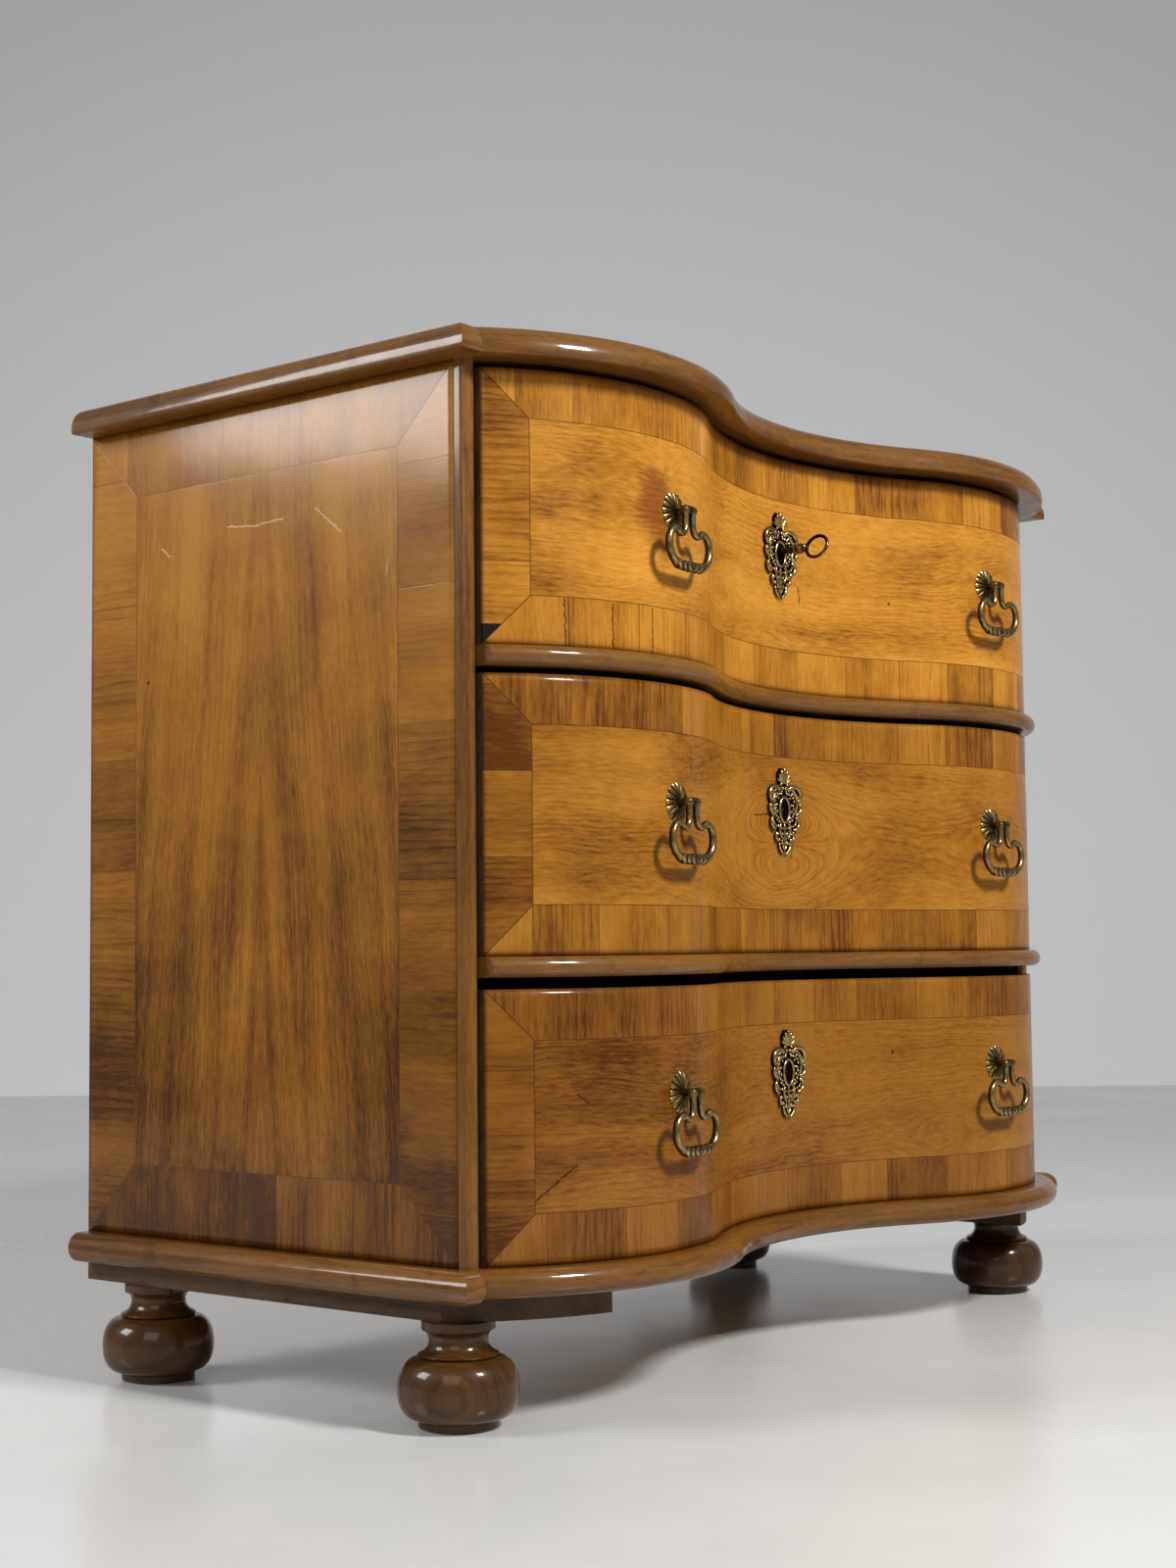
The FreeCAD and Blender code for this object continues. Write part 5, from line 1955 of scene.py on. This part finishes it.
@dataclass
class Key:
    """The key in the top drawer: a ring bow that leans, a turned stem and a bit.

    Sizes are in millimetres; y is the distance from the key's axis point to the back.
    """

    bow: float = 10.8
    wire: float = 1.6
    lean: float = 20.0
    stem: float = 3.1
    bit: float = 11.8
    bit_width: float = 6.9
    bit_half: float = 1.2
    tooth: float = 0.9

    def tilted(self, across: Array, up: Array) -> tuple[Array, Array]:
        """Turn the flat of the bow or the bit about the key's axis, and give its x and z."""
        lean = math.radians(90.0 - self.lean)
        return across * math.cos(lean) + up * math.sin(lean), across * math.sin(lean) - up * math.cos(lean)

    def bow_ring(self, front: float) -> Surface:
        """Give the bow: a circle carried round a circle.

        Args:
            front: y of its front.

        Returns:
            The ring.
        """
        around, turn = turns(72)[:, None], turns(18)
        radius = self.bow + self.wire * np.cos(turn)
        x, z = self.tilted(radius * np.sin(around), self.wire * np.sin(turn))
        y = front + self.bow + self.wire - radius * np.cos(around)
        return Surface.grid(xyz(x, y, z), None, 0.5 + 0.4 * np.cos(turn), around=True, ring=True)

    def shank(self, start: float, end: float) -> Surface:
        """Give the turned stem.

        Args:
            start: y of its front.
            end: y of its back.

        Returns:
            The stem, brighter where it is wide.
        """
        stem = np.array(
            [
                (0, -0.6), (2.2, -0.6), (3.0, 0.2), (4.0, 0.9), (4.2, 1.7), (3.6, 2.5), (3.0, 2.9), (2.8, 3.4),
                (3.6, 4.2), (4.7, 5.8), (5.0, 7.6), (4.5, 9.4), (3.5, 10.6), (3.1, 11.2), (3.9, 11.9), (4.2, 12.7),
                (3.9, 13.5), (3.2, 14.0), (self.stem, 15.0), (self.stem, end - start), (0, end - start),
            ]
        )
        shank = lathe(stem, 32).moved(placed(((1, 0, 0), (0, 0, -1), (0, 1, 0)), (0, start, 0)))
        shank.relief = np.clip(np.hypot(shank.points[:, 0], shank.points[:, 2]) / stem.max(axis=0)[0], 0, 1)
        return shank

    def bit_flag(self, end: float) -> Surface:
        """Give the bit: a toothed flag below the stem's end.

        Args:
            end: y of its back.

        Returns:
            The flag.
        """
        side = self.bit_half * np.array([-1, -1, 1, 1])
        down = self.bit * np.array([0, -1, -1, 0]) * np.where(np.arange(6) % 2, self.tooth, 1.0)[:, None]
        x, z = self.tilted(down, side)
        return Surface.loft(xyz(x, np.linspace(end - self.bit_width, end, 6)[:, None], z))

    def build(self, metal: bpy.types.Material) -> None:
        """Build and dress the key.

        Args:
            metal: The finish.
        """
        low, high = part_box("key")
        x, _, z = joint("key_turn")["pos_m"]
        front, end = low.y / MM, high.y / MM
        start = front + 2 * self.bow + self.wire
        key = Surface.joined([self.bow_ring(front), self.shank(start, end), self.bit_flag(end)])
        key.points = key.points * MM + (x, 0.0, z)
        settle(key.piece("lock_key"), "key", "iron", metal, "key")


@dataclass
class Drawer:
    """A drawer's face and its hardware."""

    name: str
    finish: BandedVeneer

    def build(self, brass: bpy.types.Material) -> None:
        """Build the veneer, the keyhole plate, the bails and the rosettes.

        Args:
            brass: The finish of the hardware.
        """
        DrawerFace(self.name, self.finish).build()
        KeyholePlate(self.name).build(brass)
        rosettes = Surface.joined([Pull(self.name, side).build(brass) for side in Side])
        settle(rosettes.piece(f"{self.name}_fluted_plates"), self.name, "brass", brass, f"{self.name}_rosettes")


@dataclass
class CarriedSolids:
    """The solids that keep their own shape and get a finish."""

    top_inset: float = 0.010
    top_band: float = 0.075
    top_block: float = 0.11

    @staticmethod
    def reach(aside: Value, ahead: Value) -> Value:
        """Give a distance from its two parts."""
        return (aside.do("POWER", 2.0) + ahead.do("POWER", 2.0)).do("SQRT")

    def top_veneer(self) -> bpy.types.Material:
        """Build the top's veneer: its front band follows the serpentine's two circles.

        Returns:
            The material.
        """
        graph = Graph("top_veneer")
        x, y, _ = graph.places()
        low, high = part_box("top_board")
        line = SERPENTINE
        size, ahead = abs(x), y - line.hollow_y
        bulge = line.bulge_radius - self.reach(size - line.bulge_x, y - line.bulge_y)
        hollow = self.reach(size, ahead) - line.hollow_radius
        in_bulge = (size - ahead * math.tan(line.turn_angle)).over(0.0)
        edges = (x - low.x, high.x - x, hollow.toward(bulge, in_bulge) - self.top_inset, high.y - y)
        knots = ((0.21, 0.06, 0.02), (-0.21, 0.06, 0.02))
        finish = BandedVeneer(SIDE_WALNUT, 9.0, self.top_band, self.top_block, knots=knots)
        return finish.material(graph, x, y, edges)

    def finishes(self) -> dict[str, bpy.types.Material]:
        """Choose the finish of every solid that is shown.

        Returns:
            The finish of each, by the solid's name.
        """
        pine = SolidWood(PINE, roughness=0.62, coat=0.0, seed=3.0, dents=0.2)
        across, depth, upright = (pine.along_axis(f"pine_{axis.name.lower()}", axis) for axis in Axis)
        # The dark pine of the rails and the drawer fronts' cores is painted shade as well as age: they show only in
        # the gaps.
        stained = SolidWood(AGED_PINE_AND_PAINTED_SHADE, roughness=0.5, coat=0.1, seed=4.0)
        core = SolidWood(AGED_PINE_AND_PAINTED_SHADE, roughness=0.6, coat=0.0, seed=6.0).along_axis("stained_core", Axis.ACROSS)
        iron = Iron().material("forged_iron")
        found = {
            "top_board": self.top_veneer(),
            "back_boards": across,
            "bottom_board": across,
            "runners_upper": depth,
            "runners_lower": depth,
            "kickers": depth,
            "foot_bearers": stained.along_axis("stained_bearer", Axis.DEPTH),
            "rail_upper": core,
            "rail_lower": core,
            "side_panel_left": upright,
            "side_panel_right": upright,
        }
        parts = {
            "front": core,
            "back": across,
            "bottom": across,
            "sides": depth,
            "lock_case": iron,
            "lock_bolt": iron,
            "pull_posts": Brass().material("rubbed_brass", carved=False),
        }
        for drawer in DRAWERS:
            found.update({f"{drawer}_{part}": finish for part, finish in parts.items()})
        return found

    def build(self) -> None:
        """Dress the solids."""
        for node, finish in self.finishes().items():
            slots = frame["nodes"][node].data.materials
            slots.clear()
            slots.append(finish)
            LOG.info("%s: solid with %s", node, finish.name)


# The studio


def stand(data: bpy.types.ID, axes: Sequence[Array], place: Sequence[float]) -> bpy.types.Object:
    """Put a lamp or the camera in its place.

    Args:
        data: What stands there.
        axes: Its right, its up and the way behind it.
        place: Where it stands.

    Returns:
        The object, with the data's name.
    """
    thing = bpy.data.objects.new(data.name, data)
    thing.matrix_world = Matrix(placed(axes, place).tolist())
    bpy.context.scene.collection.objects.link(thing)
    return thing


@dataclass(frozen=True)
class Lamp:
    """A square soft lamp.

    Attributes:
        name: Its name.
        place: Where it hangs.
        aim: The point it faces.
        size: Width in metres.
        power: Power in watts.
    """

    name: str
    place: tuple[float, float, float]
    aim: tuple[float, float, float]
    size: float
    power: float

    def hang(self) -> None:
        """Hang the lamp, with its back away from the point it faces."""
        data = bpy.data.lights.new(self.name, "AREA")
        data.shape = "SQUARE"
        data.size = self.size
        data.energy = self.power
        away = np.array(self.place) - np.array(self.aim)
        away /= np.linalg.norm(away)
        level = np.cross((0.0, 0.0, 1.0), away)
        level /= np.linalg.norm(level)
        stand(data, (level, np.cross(away, level), away), self.place)


LAMPS = (
    Lamp("key_lamp", (-0.2, -2.5, 2.35), (0.0, -0.1, 0.5), 0.5, 108.0),
    Lamp("side_lamp", (-2.8, 1.9, 2.08), (-0.3, 0.0, 0.9), 1.3, 78.0),
    Lamp("fill_lamp", (-2.9, -1.4, 1.9), (0.0, 0.0, 0.4), 1.8, 16.0),
)


@dataclass
class Studio:
    """A pale floor, a grey wall, soft lamps and the camera."""

    camera_place: tuple[float, float, float] = (-1.753, -1.33183, 0.3615)
    yaw: float = math.radians(51.5519)
    pitch: float = math.radians(4.0937)
    roll: float = math.radians(-0.5592)
    lens: float = 52.795
    wall_away: float = 5.9
    wall_half: float = 9.0
    wall_height: float = 7.0
    floor_depth: float = 14.0
    world: Colour = (0.62, 0.63, 0.65)
    world_strength: float = 0.1
    sky_strength: float = 0.4

    def heading(self) -> tuple[Array, Array]:
        """Give the level ways ahead of the camera and to its right."""
        sine, cosine = math.sin(self.yaw), math.cos(self.yaw)
        return np.array([sine, cosine, 0.0]), np.array([cosine, -sine, 0.0])

    def camera(self) -> None:
        """Set the camera from its place, yaw, pitch and roll."""
        ahead, level = self.heading()
        ahead = ahead * math.cos(self.pitch) + (0.0, 0.0, math.sin(self.pitch))
        upright = np.cross(level, ahead)
        sine, cosine = math.sin(self.roll), math.cos(self.roll)
        axes = (cosine * level + sine * upright, cosine * upright - sine * level, -ahead)
        data = bpy.data.cameras.new("camera")
        data.lens = self.lens
        bpy.context.scene.camera = stand(data, axes, self.camera_place)

    def floor_finish(self) -> bpy.types.Material:
        """Build the floor's finish: pale paint with faint clouds and hair cracks.

        Returns:
            The material.
        """
        graph = Graph("pale_floor")
        x, y, _ = graph.places()
        cloud = graph.noise(x * 1.4, y * 1.4, 0.0, 5.0, 0.6)
        crack = abs(graph.noise(x * 2.3 + 4.0, y * 2.3, 2.0, 6.0, 0.62) - 0.5).step(0.0, 0.004, 1.0, 0.0)
        colour = graph.ramp(cloud, ((0.3, (0.66, 0.66, 0.65)), (0.7, (0.76, 0.755, 0.74))))
        colour = graph.tint(colour, (0.5, 0.5, 0.49), crack * cloud.step(0.5, 0.7, 0.0, 0.2))
        graph.raise_by(cloud * 0.8, 0.002)
        return graph.done(colour, cloud.step(0.3, 0.7, 0.16, 0.3))

    def wall_finish(self) -> bpy.types.Material:
        """Build the wall's finish: matt grey, with painted light that makes it paler near the floor.

        Returns:
            The material.
        """
        graph = Graph("grey_wall")
        cloud = graph.cloud(0.8, 3.0)
        # painted light: the wall gets paler toward the floor
        tone = graph.places()[2] * -0.12 + 0.62 + (cloud - 0.5) * 0.05
        colour = graph.ramp(tone, ((0.1, (0.62, 0.625, 0.635)), (0.7, (0.97, 0.975, 0.98))))
        return graph.done(colour, cloud.step(0.0, 1.0, 0.8, 0.95))

    def sheet(self, name: str, corners: Array, material: bpy.types.Material) -> None:
        """Make a flat sheet of the stage from its four corners.

        Args:
            name: Name of the object.
            corners: 2 by 2 by x, y, z.
            material: The finish.
        """
        sheet = Surface.grid(corners).piece(name, closed=False)
        sheet.data.materials.append(material)
        sheet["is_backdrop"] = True
        LOG.info("%s: stage", name)

    def sky(self) -> None:
        """Set the world: dim as a light, and paler where the camera or a gloss sees it."""
        world = bpy.context.scene.world or bpy.data.worlds.new("studio")
        bpy.context.scene.world = world
        world.use_nodes = True
        nodes, links = world.node_tree.nodes, world.node_tree.links
        ray = nodes.new("ShaderNodeLightPath")
        seen = ray.outputs["Is Camera Ray"]
        for kind in ("Is Glossy Ray", "Is Transmission Ray"):
            either = nodes.new("ShaderNodeMath")
            either.operation = "MAXIMUM"
            links.new(seen, either.inputs[0])
            links.new(ray.outputs[kind], either.inputs[1])
            seen = either.outputs[0]
        strength = nodes.new("ShaderNodeMath")
        strength.operation = "MULTIPLY_ADD"
        strength.inputs[1].default_value = self.sky_strength
        strength.inputs[2].default_value = self.world_strength
        links.new(seen, strength.inputs[0])
        links.new(strength.outputs[0], nodes["Background"].inputs["Strength"])
        nodes["Background"].inputs["Color"].default_value = (*self.world, 1.0)

    def build(self) -> None:
        """Build the stage, the lamps, the world's light and the camera."""
        bpy.context.scene.view_settings.view_transform = "Standard"
        ahead, level = self.heading()
        base = np.array([*self.camera_place[:2], 0.0]) + ahead * self.wall_away
        ends = np.stack([base + level * self.wall_half, base - level * self.wall_half])
        near, above = ends - ahead * self.floor_depth, ends + (0.0, 0.0, self.wall_height)
        self.sheet("floor", np.stack([near, ends])[:, ::-1], self.floor_finish())
        self.sheet("wall", np.stack([ends, above])[:, ::-1], self.wall_finish())
        self.sky()
        for lamp in LAMPS:
            lamp.hang()
        self.camera()


def drawers() -> list[Drawer]:
    """Set out the three drawers, each with its own figure; the lower two are darkened as painted shade.

    Returns:
        The drawers from the top.
    """
    top = BandedVeneer(
        FRONT_WALNUT,
        1.0,
        knots=((0.30, 0.12, 0.016), (-0.12, 0.07, 0.014)),
        patches=((-0.294, 0.108, 0.036),),
        chip=0.016,
        cracks=(
            (0.031, 0.0995, 0.0325, 0.0835),
            (-0.3915, 0.038, -0.3906, 0.0),
            (-0.347, 0.037, -0.347, 0.0),
            (-0.3034, 0.037, -0.3034, 0.0),
        ),
    )
    middle = BandedVeneer(
        # painted shade: the middle drawer's colours at 0.72 of their brightness
        FRONT_WALNUT.deeper(0.72),
        23.0,
        knots=((0.0, 0.1, 0.055), (0.27, 0.1, 0.02)),
        cracks=(
            (-0.2483, 0.161, -0.2483, 0.144),
            (-0.0501, 0.1233, -0.0195, 0.125),
            (0.0172, 0.1023, 0.0134, 0.0864),
        ),
        # painted shade on the middle drawer's left end band
        left_tone=-0.13,
    )
    bottom = BandedVeneer(
        # painted shade: the bottom drawer's colours at 0.56 of their brightness
        FRONT_WALNUT.deeper(0.56),
        41.0,
        knots=((0.2, 0.06, 0.018), (-0.14, 0.12, 0.018)),
        cracks=((-0.4197, 0.0483, -0.3853, 0.0741), (-0.3845, 0.1281, -0.3746, 0.1209)),
        # painted shade on the bottom drawer's left end band
        left_tone=-0.07,
        # painted light: a stronger lightening toward the right end on the bottom drawer
        run=0.3,
    )
    return [Drawer(name, finish) for name, finish in zip(DRAWERS, (top, middle, bottom))]


def write_sizes() -> None:
    """Work out the solids' box and the dressed chest's box; they are not written anywhere."""
    boxes = {"cad": CAD_BOX, "visual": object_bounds()}
    plain = {name: [[float(number) for number in corner] for corner in box] for name, box in boxes.items()}


def main() -> None:
    """Build the chest and the studio."""
    logging.basicConfig(level=logging.INFO, format="%(name)s %(message)s")
    CarriedSolids().build()
    CaseMouldings().build()
    BunFeet().build()
    VeneeredSides().build()
    brass = Brass().material("cast_brass", carved=True)
    for drawer in drawers():
        drawer.build(brass)
    Key().build(KEY_BRONZE.material("key_bronze", carved=True))
    Studio().build()
    write_sizes()


if __name__ == "__main__":
    main()
